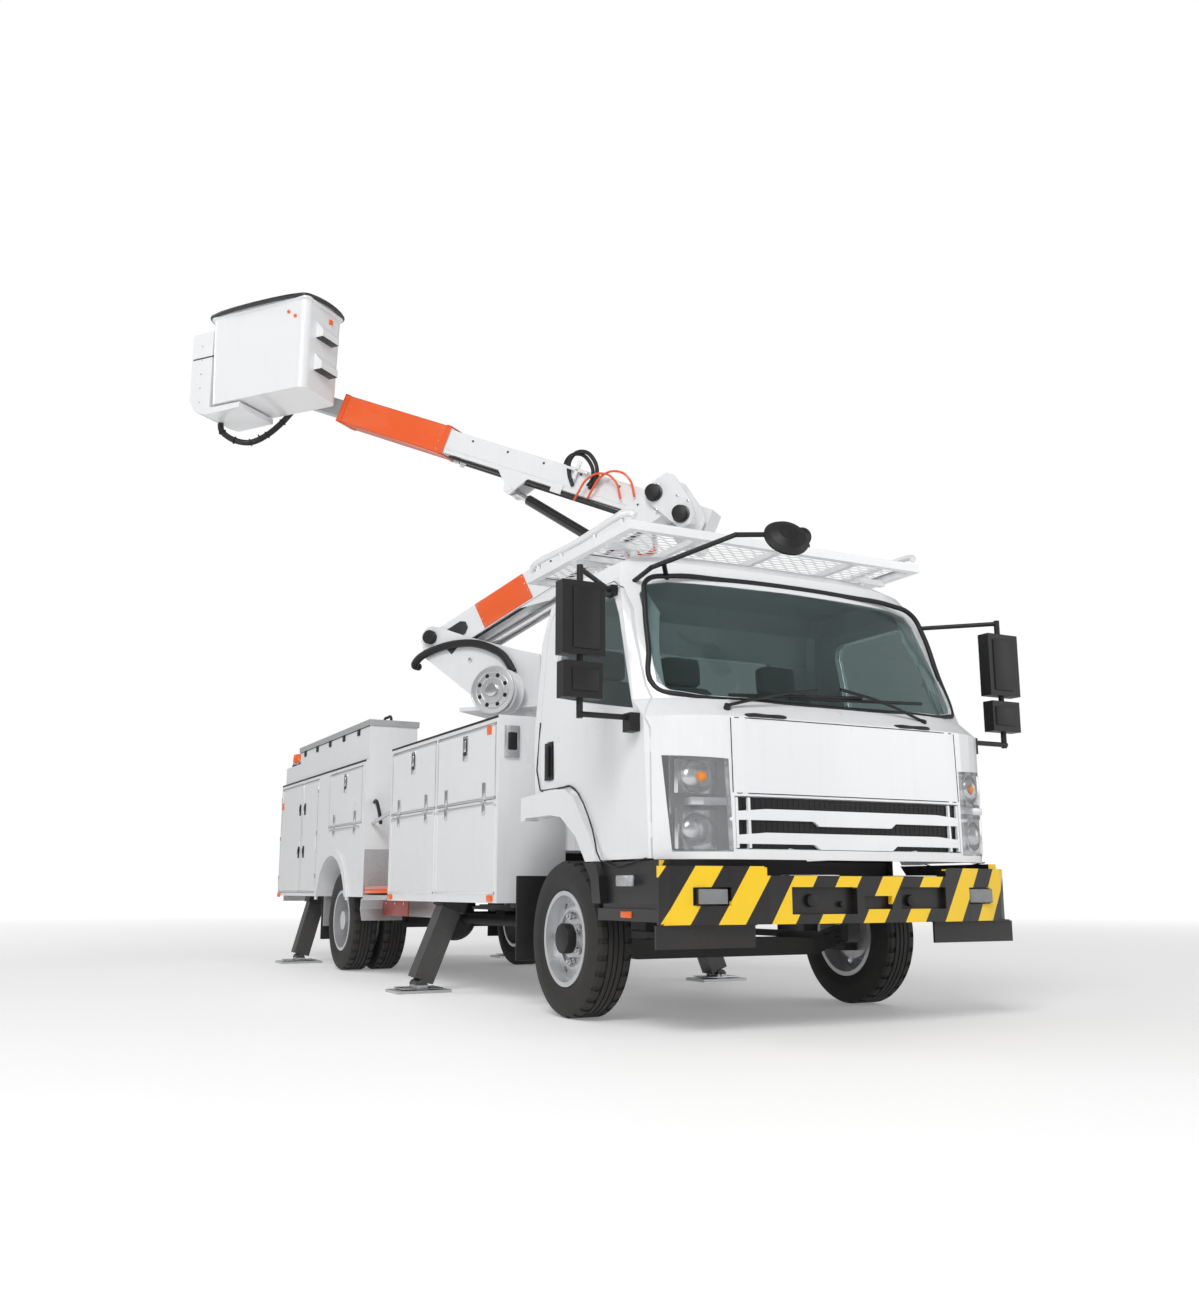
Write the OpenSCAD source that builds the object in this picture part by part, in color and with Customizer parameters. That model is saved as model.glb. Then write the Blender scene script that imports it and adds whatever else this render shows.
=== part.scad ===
// Cherry picker truck: a cab-over truck with lockers, a slewing turret, a two-part
// articulated boom with a sliding tip, a side-mounted work bucket and four outriggers.
// Millimetres, +Z up, front of the truck towards -Y, driver's side towards +X.

/* [Chassis] */
// Distance between the front and rear axles
wheelbase = 4120; // [3900:10:4400]
// Distance between the centres of the two front tyres
track = 1754; // [1700:2:1800]
// Outside radius of a tyre
tyre_r = 385; // [365:1:400]
// Width of one tyre
tyre_w = 205; // [185:1:210]
// Gap between the two tyres of a rear pair
dual_gap = 35; // [25:1:60]
// Radius of the wheel rim's bead seat
rim_r = 222; // [190:1:235]
// Distance from the centre line to the outside of a frame rail
rail_x = 425; // [380:5:440]
// Height of a frame rail
rail_h = 215; // [160:5:240]

/* [Cab] */
// Half of the cab's width at the belt
cab_half = 1000; // [950:5:1060]
// Height of the roof above the ground
roof_z = 2290; // [2240:5:2400]
// Place of the cab's rear wall behind the front axle
cab_rear = 380; // [340:5:420]
// Thickness of the cab's walls
cab_wall = 45; // [30:1:55]
// Thickness of a cab door
door_t = 60; // [40:1:70]
// Width of the gap round a door
seam = 7; // [6:0.5:10]
// Thickness of the window glass
glass_t = 6; // [4:0.5:8]

/* [Lockers] */
// Half of the body's width over the lockers
body_half = 1050; // [1020:5:1110]
// Depth of a locker
locker_d = 420; // [400:5:440]
// Underside of the lockers
locker_z0 = 552; // [530:2:580]
// Top of the lockers
locker_z1 = 1600; // [1550:5:1700]
// Thickness of a locker's walls and doors
locker_t = 20; // [12:1:24]
// Front end of the front lockers
front_y0 = 690; // [650:5:720]
// Length of the front lockers
front_len = 1960; // [1900:5:2000]
// Gap between the front and rear lockers, where the turret stands
turret_gap = 618; // [600:2:660]
// Length of the rear lockers
rear_len = 2732; // [2600:2:2900]
// Height of the upper tier over the rear lockers
tier_h = 300; // [240:5:340]

/* [Boom] */
// Angle by which the boom is turned from the truck's centre line
slew = 38; // [0:1:60]
// Distance of the lower boom's pivot behind the turret's axis
pivot_s = 611; // [560:1:660]
// Height of the lower boom's pivot
pivot_z = 2565; // [2500:5:2700]
// Angle of the lower boom above level
lower_ang = 25.9; // [20:0.1:32]
// Length of the lower boom from its pivot to its end pin
lower_len = 2107; // [1900:1:2300]
// Angle of the upper boom above level
upper_ang = 23.7; // [15:0.1:35]
// Length of the upper boom's outer box from the elbow
upper_len = 3580; // [3300:5:3800]
// Distance from the elbow to the levelling pin at the boom's tip
tip_len = 4790; // [4600:5:5000]
// Width of a boom's box
boom_w = 190; // [170:1:200]
// Wall of a boom's box
boom_t = 12; // [8:1:16]
// Length of the bucket at its middle
bucket_l = 1000; // [900:5:1150]
// Width of the bucket
bucket_w = 470; // [420:5:560]
// Height of the bucket
bucket_h = 800; // [700:5:900]
// Wall of the bucket
bucket_t = 12; // [8:1:20]

/* [Outriggers] */
// Width of an outrigger's leg
leg_w = 130; // [110:1:140]
// Lean of a front leg from upright
front_lean = 22; // [15:1:24]
// Lean of a rear leg from upright
rear_lean = 15; // [10:1:20]

/* [Hidden] */
$fn = 48;
front_y1 = front_y0 + front_len;
rear_y0 = front_y1 + turret_gap;
rear_y1 = rear_y0 + rear_len;
turret_y = front_y1 + turret_gap / 2 - 32;
locker_in = body_half - locker_d;
rail_z1 = 2 * tyre_r + 5;
rail_z0 = rail_z1 - rail_h;
deck_z = rail_z1 + 70;
front_x = track / 2;
rear_out_x = track / 2 - 10;
rear_in_x = rear_out_x - tyre_w - dual_gap;
kingpin_x = front_x - 80;
floor_z = rail_z1 + 25 + 0.3;
tip_z = 45;
// Lower boom's pins and box, in its own frame (along -Y, up Z)
box_h = 220;
box_drop = 60;
elbow = [-(lower_len + 105), -261];
upper_base = [-(lower_len - 534), -105];
lower_eye = [-(lower_len - 260), -296];
// Upper boom's pins, in its own frame (along +Y, up Z)
up_h = 200;
upper_eye = [1657, -171];
near_x = -120;
far_x = 125;
// Places of the pins in the boom's plane, as [behind the axis, height]
function turn(p, a) = [p[0] * cos(a) - p[1] * sin(a), p[0] * sin(a) + p[1] * cos(a)];
pivot = [pivot_s, pivot_z];
elbow_p = pivot + turn(elbow, -lower_ang);
upper_base_p = pivot + turn(upper_base, -lower_ang);
lower_eye_p = pivot + turn(lower_eye, -lower_ang);
lower_base_p = [pivot_s - 211, pivot_z - 185];
upper_eye_p = elbow_p + turn(upper_eye, upper_ang);
tip_p = elbow_p + turn([tip_len, tip_z], upper_ang);
function ang(a, b) = atan2(b[1] - a[1], b[0] - a[0]);
lower_cyl_a = ang(lower_base_p, lower_eye_p);
upper_cyl_a = ang(upper_base_p, upper_eye_p);
lower_cyl_l = norm(lower_eye_p - lower_base_p);
upper_cyl_l = norm(upper_eye_p - upper_base_p);
// Bucket, in the slewed frame: sideways from the boom, along it, and up
bucket_x1 = -110;
bucket_y1 = tip_p[0] - 150;
bucket_z0 = tip_p[1] - 520;
post_y = tip_p[0] + 36;
// The model's origin is on the ground at the middle of its bounding box
mirror_reach = 390;
origin_x = (sin(slew) * (tip_p[0] + 125) + cos(slew) * (bucket_w - bucket_x1) - cab_half - mirror_reach) / 2;
origin_y = -(rear_y1 + 20 - 1140) / 2;

// ---------- helpers ----------
module place() translate([origin_x, origin_y, 0]) children();
module side(s) { if (s > 0) children(); else mirror([1, 0, 0]) children(); }
module both() { children(); mirror([1, 0, 0]) children(); }
module box(a, b) translate(a) cube(b - a);
module xcyl(p, r, x0, x1) translate([x0, p[0], p[1]]) rotate([90, 0, 90]) cylinder(r = r, h = x1 - x0);
module ycyl(x, z, r, y0, y1) translate([x, y0, z]) rotate([-90, 0, 0]) cylinder(r = r, h = y1 - y0);
module zcyl(x, y, r, z0, z1) translate([x, y, z0]) cylinder(r = r, h = z1 - z0);
// An outline in the side view (points are [y, z]) drawn out along X
module yz(x0, x1, pts) translate([x0, 0, 0]) rotate([90, 0, 90]) linear_extrude(x1 - x0) polygon(pts);
// An outline in the front view (points are [x, z]) drawn out along Y
module xz(y0, y1, pts) translate([0, y1, 0]) rotate([90, 0, 0]) linear_extrude(y1 - y0) polygon(pts);
// A round bar between two points
module bar(a, b, r) {
  v = b - a;
  l = norm(v);
  translate(a) rotate([0, acos(v[2] / l), atan2(v[1], v[0])]) cylinder(r = r, h = l, $fn = 24);
}
// A bent round bar through a list of points
module bent(pts, r) {
  for (i = [0 : len(pts) - 2]) bar(pts[i], pts[i + 1], r);
  for (p = pts) translate(p) sphere(r = r + 0.6, $fn = 24);
}
// Clearance of a piece from its seat, and of a sliding piece from its guide
seat_gap = 0.3;
slide_gap = 0.5;
// Frames of the slewed boom and its two sections
module slewed() translate([0, turret_y, 0]) rotate([0, 0, slew]) children();
module lower_frame() slewed() translate([0, pivot[0], pivot[1]]) rotate([-lower_ang, 0, 0]) children();
module upper_frame() slewed() translate([0, elbow_p[0], elbow_p[1]]) rotate([upper_ang, 0, 0]) children();
// A tube swept along points, as one closed surface
module hose(pts, r, n = 8) {
  m = len(pts);
  dir = [for (i = [0 : m - 1]) let (d = pts[min(i + 1, m - 1)] - pts[max(i - 1, 0)]) d / norm(d)];
  rings = [for (i = [0 : m - 1]) let (u = cross(dir[i], hose_ref), a = u / norm(u), b = cross(dir[i], a))
    for (k = [0 : n - 1]) pts[i] + r * (cos(360 * k / n) * a + sin(360 * k / n) * b)];
  faces = concat(
    [for (i = [0 : m - 2]) for (k = [0 : n - 1])
      [i * n + k, i * n + (k + 1) % n, (i + 1) * n + (k + 1) % n, (i + 1) * n + k]],
    [[for (k = [n - 1 : -1 : 0]) k], [for (k = [0 : n - 1]) (m - 1) * n + k]]);
  polyhedron(rings, faces);
}
hose_ref = [1, 0.02, 0.03];
// Smooth points along a hand-chosen route
function mix(a, b, c, d, t) = 0.5 * (2 * b + (c - a) * t + (2 * a - 5 * b + 4 * c - d) * t * t
  + (3 * b - a - 3 * c + d) * t * t * t);
function route(p, k) = concat([for (i = [0 : len(p) - 2]) for (j = [0 : k - 1])
  mix(p[max(i - 1, 0)], p[i], p[i + 1], p[min(i + 2, len(p) - 1)], j / k)], [p[len(p) - 1]]);

// ---------- chassis ----------
module rail(s) {
  side(s) difference() {
    box([rail_x - 75, -860, rail_z0], [rail_x, rear_y1 - 60, rail_z1]);
    box([rail_x - 76, -861, rail_z0 + 8], [rail_x - 8, rear_y1 - 59, rail_z1 - 8]);
  }
}
// A leaf spring pack with its eyes, on an axle at y
module spring(y, half, x, z, n) {
  for (i = [0 : n - 1]) box([x - 35, y - half * (1 - 0.16 * i), z + 11 * i], [x + 35, y + half * (1 - 0.16 * i), z + 11 * i + 11]);
  for (e = [-1, 1]) {
    xcyl([y + e * half, z + 10], 22, x - 35, x + 35);
    box([x - 40, y + e * half - 30, z + 6], [rail_x + 2, y + e * half + 30, rail_z0 + 40]);
  }
}
module chassis_frame() place() color("dimgray") {
  rail(1);
  rail(-1);
  for (y = [-830, 1150, 1900, 3300, 4700, 5500])
    box([-rail_x + 7, y, rail_z0 + 20], [rail_x - 7, y + 60, rail_z1 - 20]);
  box([-rail_x, rear_y1 - 60, rail_z0 - 30], [rail_x, rear_y1 - 48, rail_z1]);
  both() spring(0, 560, rail_x - 38, tyre_r - 12, 3);
  both() spring(wheelbase, 640, rail_x - 38, tyre_r + 72, 4);
  // fuel tank and air tank between the rails and the lockers
  box([-620, 1000, 575 - 60], [-440, 1500, 800]);
  both() box([rail_x - 5, 1200, rail_z0 + 60], [rail_x + 30, 1300, rail_z0 + 150]);
  // prop shaft
  ycyl(0, tyre_r + 15, 42, gearbox_y1 + seat_gap, wheelbase - 260 - seat_gap);
  // slanted outrigger sleeves
  both() sleeve(outrigger_y[0], foot_x[0], front_lean);
  both() sleeve(outrigger_y[1], foot_x[1], rear_lean);
  // locker bearers across the rails
  for (y = [front_y0 + 160, front_y1 - 160, rear_y0 + 200, rear_y1 - 300])
    box([-locker_in, y - 40, rail_z1], [locker_in, y + 40, deck_z - 12]);
}
gearbox_y1 = 960;
outrigger_y = [front_y0 + 1130, rear_y1 - 760];
foot_x = [1095, 1010];
sleeve_z = 505;
// Frame of a leg: its foot's pivot at the origin, leaning inwards as it rises
module leg_frame(y, x, lean) translate([x, y, 45]) rotate([0, -lean, 0]) children();
module sleeve(y, x, lean) {
  l0 = (sleeve_z - 45) / cos(lean);
  difference() {
    union() {
      leg_frame(y, x, lean) box([-leg_w / 2 - 16, -leg_w / 2 - 16, l0], [leg_w / 2 + 16, leg_w / 2 + 16, l0 + 560]);
      sleeve_arm(y, x, lean, 0);
    }
    leg_frame(y, x, lean) box([-leg_w / 2 - slide_gap, -leg_w / 2 - slide_gap, l0 - 1], [leg_w / 2 + slide_gap, leg_w / 2 + slide_gap, l0 + 561]);
  }
}
// Arm that carries a sleeve from the rail through the locker's inner wall
module sleeve_arm(y, x, lean, g) box([rail_x - 4 - g, y - 40 - g, rail_z1 - 130 - g], [x - tan(lean) * 690 - 60, y + 40 + g, rail_z1 - 30 + g]);
module leg(y, x, lean) {
  l0 = (sleeve_z - 45) / cos(lean);
  leg_frame(y, x, lean) difference() {
    union() {
      box([-leg_w / 2, -leg_w / 2, 30], [leg_w / 2, leg_w / 2, l0 + 170]);
      rotate([90, 0, 0]) cylinder(r = 34, h = leg_w - 40, center = true);
    }
    translate([0, 0, 0]) rotate([90, 0, 0]) cylinder(r = 12, h = leg_w, center = true);
    box([-leg_w / 2 + 8, -leg_w / 2 + 8, 60], [leg_w / 2 - 8, leg_w / 2 - 8, l0 + 171]);
  }
  translate([x, y, 45]) rotate([90, 0, 0]) cylinder(r = 12, h = leg_w + 44, center = true);
  for (e = [-1, 1]) translate([x, y + e * (leg_w / 2 + 3), 45]) difference() {
    rotate([90, 0, 0]) cylinder(r = 34, h = 18, center = true);
    rotate([90, 0, 0]) cylinder(r = 12, h = 20, center = true);
  }
  for (e = [-1, 1]) box([x - 34, y + e * (leg_w / 2 + 3) - 9, 18], [x + 34, y + e * (leg_w / 2 + 3) + 9, 45]);
  box([x - 175, y - 120, 0], [x + 175, y + 120, 18]);
}
module outrigger(s, i) place() color([0.2, 0.21, 0.23]) side(s) leg(outrigger_y[i], foot_x[i], i == 0 ? front_lean : rear_lean);
module axles() place() color([0.15, 0.15, 0.16]) {
  // front beam, dropped at its middle
  e = kingpin_x - 10;
  beam = [[-e, tyre_r - 45], [-e + 45, tyre_r - 45], [-570, tyre_r - 110], [570, tyre_r - 110], [e - 45, tyre_r - 45], [e, tyre_r - 45],
    [e, tyre_r + 45], [e - 45, tyre_r + 40], [560, tyre_r - 12 - seat_gap], [-560, tyre_r - 12 - seat_gap],
    [-e + 45, tyre_r + 40], [-e, tyre_r + 45]];
  difference() {
    union() {
      xz(-38, 38, beam);
      both() zcyl(kingpin_x, 0, 24.5, tyre_r - 45, tyre_r + 45);
    }
    both() zcyl(kingpin_x, 0, 19.75, 0, 800);
  }
  // rear housing with its final drive
  difference() {
    union() {
      xcyl([wheelbase, tyre_r], 62, -rear_in_x + 40, rear_in_x - 40);
      xcyl([wheelbase, tyre_r], 45, -rear_out_x - 20, rear_out_x + 20);
      translate([0, wheelbase, tyre_r]) scale([1, 1, 1]) sphere(r = 175);
      both() box([rail_x - 78, wheelbase - 70, tyre_r - 20], [rail_x + 2, wheelbase + 70, tyre_r + 72 - seat_gap]);
    }
  }
  ycyl(0, tyre_r, 60, wheelbase - 260, wheelbase - 160);
}
module engine_block() place() color("darkgray") {
  box([-290, -340, 500], [290, 600, 1030]);
  box([-160, 599, 340], [160, gearbox_y1, 640]);
}

// ---------- wheels ----------
// A wheel's rim and disc about the X axis, its outer flange at x = w/2; dish > 0 is hollow outside
module rim(w, dish, hub_r) {
  rotate([0, 90, 0]) difference() {
    union() {
      rotate_extrude($fn = 96) polygon([[rim_r - 10, -w / 2], [rim_r + 13, -w / 2], [rim_r + 13, -w / 2 + 12], [rim_r, -w / 2 + 14],
        [rim_r, w / 2 - 14], [rim_r + 13, w / 2 - 12], [rim_r + 13, w / 2], [rim_r - 10, w / 2]]);
      rotate_extrude($fn = 96) polygon([[hub_r, dish - 6], [150, dish - 6], [170, dish - 16], [rim_r - 9, dish - 24],
        [rim_r - 9, dish - 10], [172, dish - 2], [150, dish + 8], [hub_r, dish + 8]]);
    }
    for (i = [0 : 5]) rotate([0, 0, 60 * i + 30]) translate([180, 0, dish - 60]) cylinder(r = 17, h = 100, $fn = 24);
    for (i = [0 : 5]) rotate([0, 0, 60 * i]) translate([111, 0, dish - 60]) cylinder(r = 10.5, h = 100, $fn = 24);
  }
}
// A hub with its studs' seats and cap, bored for the spindle
module hub(x0, x1, cap, bore) rotate([0, 90, 0]) difference() {
  union() {
    translate([0, 0, x0]) cylinder(r = 140, h = x1 - x0);
    translate([0, 0, x1]) cylinder(r = 72, h = cap);
    for (i = [0 : 5]) rotate([0, 0, 60 * i]) translate([111, 0, x1 - 1]) cylinder(r = 10, h = 42, $fn = 24);
  }
  translate([0, 0, x0 - 1]) cylinder(r = bore, h = x1 - x0 + cap - 20);
}
module tyre(w) rotate([0, 90, 0]) rotate_extrude($fn = 96) polygon([
  [rim_r + seat_gap, -rim_w / 2 + 14.5], [rim_r + 13 + seat_gap, -rim_w / 2 + 12.5], [rim_r + 13 + seat_gap, -rim_w / 2 + 2], [rim_r + 30, -w / 2 + 10], [rim_r + 80, -w / 2], [tyre_r - 42, -w / 2 + 3],
  [tyre_r - 12, -w / 2 + 12], [tyre_r, -w / 2 + 30], [tyre_r, w / 2 - 30],
  [tyre_r - 12, w / 2 - 12], [tyre_r - 42, w / 2 - 3], [rim_r + 80, w / 2], [rim_r + 30, w / 2 - 10],
  [rim_r + 13 + seat_gap, rim_w / 2 - 2], [rim_r + 13 + seat_gap, rim_w / 2 - 12.5], [rim_r + seat_gap, rim_w / 2 - 14.5]]);
rim_w = tyre_w - 21;
module front_rim(s) place() color("silver") side(s) translate([front_x, 0, tyre_r]) {
  rim(rim_w, 40, 139);
  hub(-30, 34.5, 62, 30.05);
}
module front_tyre(s) place() color([0.08, 0.08, 0.08]) side(s) translate([front_x, 0, tyre_r]) tyre(tyre_w);
module rear_rims(s) place() color("silver") side(s) {
  translate([rear_out_x, wheelbase, tyre_r]) rim(rim_w, -78, 139);
  translate([rear_in_x, wheelbase, tyre_r]) mirror([1, 0, 0]) rim(rim_w, -78, 139);
  translate([(rear_out_x + rear_in_x) / 2, wheelbase, tyre_r]) hub(-(rear_out_x - rear_in_x) / 2 + 60, (rear_out_x - rear_in_x) / 2 - 70, 150, 45.05);
}
module rear_tyres(s) place() color([0.08, 0.08, 0.08]) side(s)
  for (x = [rear_out_x, rear_in_x]) translate([x, wheelbase, tyre_r]) tyre(tyre_w);
// A steering knuckle: kingpin, fork, spindle and steering arm
module knuckle(s) place() color([0.2, 0.2, 0.22]) side(s) {
  zcyl(kingpin_x, 0, 19.7, tyre_r - 95, tyre_r + 95);
  for (z = [tyre_r - 95, tyre_r + 50]) box([kingpin_x - 30, -30, z], [kingpin_x + 46, 30, z + 45]);
  box([kingpin_x + 26, -42, tyre_r - 95], [kingpin_x + 46, 42, tyre_r + 95]);
  xcyl([0, tyre_r], 30, kingpin_x + 44, front_x + 40);
  box([kingpin_x - 28, 20, tyre_r - 95], [kingpin_x + 20, 120, tyre_r - 72]);
}

// ---------- cab ----------
// Levels of the cab's outside: height, half width, front at the middle, front at the side,
// rear, and how square the front corners are
cab_levels = [
  [560, cab_half - 30, -1090, -880, cab_rear, 6],
  [800, cab_half - 15, -1118, -890, cab_rear, 6],
  [1395, cab_half, -1098, -880, cab_rear, 6],
  [1490, cab_half - 3, -990, -775, cab_rear, 4.5],
  [1960, cab_half - 45, -728, -605, cab_rear, 4],
  [roof_z - 150, cab_half - 72, -635, -520, cab_rear - 45, 4],
  [roof_z - 55, cab_half - 115, -590, -455, cab_rear - 150, 4],
  [roof_z, cab_half - 220, -515, -400, cab_rear - 270, 4]];
// Plan outline at one level, inset by d
function plan(l, d) = let (w = l[1] - d, f = l[2] + d, c = l[3] + d * 0.5, r = l[4] - d)
  concat([for (i = [-12 : 12]) let (t = sin(7.5 * i)) [w * t, f + (c - f) * pow(abs(t), l[5])]],
    [[w, r - 70], [w - 20, r - 20], [w - 70, r], [-w + 70, r], [-w + 20, r - 20], [-w, r - 70]]);
module slice(l, d, dz = 0) translate([0, 0, l[0] + dz]) linear_extrude(0.1) polygon(plan(l, d));
module cab_solid(d, top = 0) for (i = [0 : len(cab_levels) - 2]) hull() {
  slice(cab_levels[i], d, i == 0 && top != 0 ? -1 : 0);
  slice(cab_levels[i + 1], d, i == len(cab_levels) - 2 ? -top : 0);
}
// Outlines in the side view
door_z0 = 762;
door_front = -900;
door_out = [[door_front, door_z0], [-458, door_z0], [-372, 914], [-214, 1096], [-110, 1140], [235, 1142],
  [240, 1990], [225, 2070], [170, 2122], [-470, 2122], [-550, 2075], [-625, 1950], [-790, 1560], [-868, 1420], [door_front, 1340]];
door_win = [[-782, 1446], [-300, 1535], [70, 1612], [120, 1990], [100, 2040], [50, 2062], [-440, 2062], [-505, 2030], [-570, 1940]];
arch_out = [[-430, 500], [-405, 680], [-235, 880], [-60, 985], [60, 1000], [cab_rear + 1, 1000], [cab_rear + 1, 500]];
flare_out = [[-500, 562], [-480, 690], [-360, 900], [-200, 1080], [-100, 1122], [60, 1130], [cab_rear + 55, 1110],
  [cab_rear + 55, 985], [60, 985], [-60, 968], [-228, 866], [-396, 672], [-416, 562]];
valance = [[-988, 562], [-416, 562], [-396, 672], [-337, 745], [-337, 752], [-988, 752]];
windscreen = [[-895, 1570], [-850, 1530], [-700, 1504], [0, 1492], [700, 1504], [850, 1530], [895, 1570],
  [862, 2040], [820, 2095], [700, 2118], [0, 2130], [-700, 2118], [-820, 2095], [-862, 2040]];
rear_window = [[-600, 1600], [-560, 1570], [560, 1570], [600, 1600], [600, 1930], [560, 1965], [-560, 1965], [-600, 1930]];
// The same outlines, grown by g all round
module yz_grown(x0, x1, pts, g) translate([x0, 0, 0]) rotate([90, 0, 90]) linear_extrude(x1 - x0) offset(delta = g) polygon(pts);
module xz_grown(y0, y1, pts, g) translate([0, y1, 0]) rotate([90, 0, 0]) linear_extrude(y1 - y0) offset(delta = g) polygon(pts);
module cab_skin(a, b) difference() { cab_solid(a, a * 0.9); translate([0, 0, -0.5]) cab_solid(b, b); }
lamp_z0 = 790;
lamp_z1 = 1215;
grille_z0 = 800;
grille_z1 = 1035;
grille_x = 656;
module lamp_zone(g) xz(-1300, -925, [[668 - g, lamp_z0 - g], [cab_half - 88 + g, lamp_z0 - g], [cab_half - 56 + g, lamp_z1 + g],
  [678 - g, lamp_z1 + g - 15]]);
cab_bottom = 757;
module cab_shell() place() color("white") {
  difference() {
    union() {
      cab_skin(0, cab_wall);
      // footwell floor, riser and seat deck
      intersection() {
        cab_solid(8, 8);
        union() {
          box([-cab_half, -1060, floor_z - 25], [cab_half, -430, floor_z]);
          box([-cab_half, -455, floor_z - 25], [cab_half, -430, 1120]);
          box([-cab_half, -455, 1095], [cab_half, cab_rear - 5, 1120]);
          box([-cab_half, cab_rear - 50, 1040], [cab_half, cab_rear - 5, 1120]);
        }
      }
      both() intersection() {
        yz(cab_half - 60, cab_half + 22, flare_out);
        box([0, -600, cab_bottom], [cab_half + 22, cab_rear + 55, 1200]);
      }
    }
    // the shell is open below, where the bumper and the wheels are
    box([-cab_half - 80, -1300, 400], [cab_half + 80, -330, cab_bottom]);
    box([-cab_half + 95, -930, 400], [cab_half - 95, cab_rear + 100, floor_z - 26]);
    box([-cab_half + 95, -430, 400], [cab_half - 95, cab_rear + 100, 1094]);
    box([-420, -456, 400], [420, cab_rear - 51, 1094]);
    both() yz(300, cab_half + 80, arch_out);
    both() yz_grown(300, cab_half + 80, door_out, seam);
    xz(-1300, -300, windscreen);
    xz(250, 600, rear_window);
    box([-grille_x, -1300, grille_z0], [grille_x, -1030, grille_z1]);
    both() lamp_zone(seat_gap);
  }
}
module cab_door(s) place() color("white") side(s) {
  // hinge leaves
  for (z = [850, 1230]) box([cab_half - 50, door_front - seam + seat_gap, z], [cab_half - 22, door_front + 2, z + 70]);
  difference() {
  intersection() {
    cab_skin(0, door_t);
    yz(300, cab_half + 80, door_out);
  }
  yz(300, cab_half + 80, door_win);
  // window slot, handle recess
  box([cab_half - 14, 70, 1180], [cab_half + 40, 150, 1385]);
  }
}
module door_glass(s) place() color([0.3, 0.4, 0.4, 0.5]) side(s) intersection() {
  cab_skin(22, 22 + glass_t);
  yz_grown(300, cab_half + 80, door_win, -0.4);
}
module cab_glass() place() color([0.3, 0.4, 0.4, 0.5]) {
  intersection() {
    cab_skin(12, 12 + glass_t);
    xz_grown(-1300, -300, windscreen, -0.4);
  }
  intersection() {
    cab_skin(12, 12 + glass_t);
    xz_grown(250, 600, rear_window, -0.4);
  }
}
module grille() place() color("gainsboro") {
  intersection() {
    cab_skin(2, 22);
    union() {
      for (z = [grille_z0 + 25, grille_z0 + 130]) xz(-1300, -900, [[-grille_x + 6, z], [-240, z], [-210, z - 22], [210, z - 22], [240, z],
        [grille_x - 6, z], [grille_x - 6, z + 38], [500, z + 50], [-500, z + 50], [-grille_x + 6, z + 38]]);
      for (x = [-grille_x + 10, -grille_x + 70, grille_x - 70, grille_x - 10])
        box([x - 6, -1300, grille_z0 + 6], [x + 6, -900, grille_z1 - 6]);
    }
  }
  // mesh panel behind the bars
  intersection() {
    cab_skin(22, 32);
    box([-grille_x + seat_gap, -1300, grille_z0 + seat_gap], [grille_x - seat_gap, -1000, grille_z1 - seat_gap]);
  }
}
module headlamps() place() color("lightgray") both() intersection() {
  cab_skin(1.5, cab_wall - 1);
  lamp_zone(0);
}
// A seat with cushion, back and headrest
module seat(x, w) {
  box([x - w / 2, -300, 1120 + seat_gap], [x + w / 2, 180, 1230]);
  yz(x - w / 2 + 12, x + w / 2 - 12, [[130, 1228], [235, 1228], [310, 1760], [215, 1765]]);
  yz(x - 120, x + 120, [[225, 1762], [305, 1758], [320, 1930], [245, 1930]]);
}
module seats() place() color("gray") {
  seat(560, 480);
  seat(-600, 440);
  seat(-110, 400);
}
module dashboard() place() color([0.3, 0.3, 0.32]) {
  yz(-860, 860, [[-935, floor_z + seat_gap], [-900, floor_z + seat_gap], [-860, 1200], [-700, 1330], [-690, 1400], [-760, 1450], [-870, 1450], [-935, 1390]]);
  // steering column and wheel
  translate([540, -800, 1300]) rotate([-70.4, 0, 0]) cylinder(r = 33, h = 290, $fn = 12);
  translate([540, -520, 1400]) rotate([62, 0, 0]) {
    rotate_extrude($fn = 64) polygon([[190, -9], [197, -15], [213, -15], [220, -9], [220, 9], [213, 15], [197, 15], [190, 9]]);
    for (a = [90, 210, 330]) rotate([0, 0, a]) box([40, -16, -7], [200, 16, 7]);
    cylinder(r = 55, h = 40, center = true, $fn = 12);
  }
}
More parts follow.
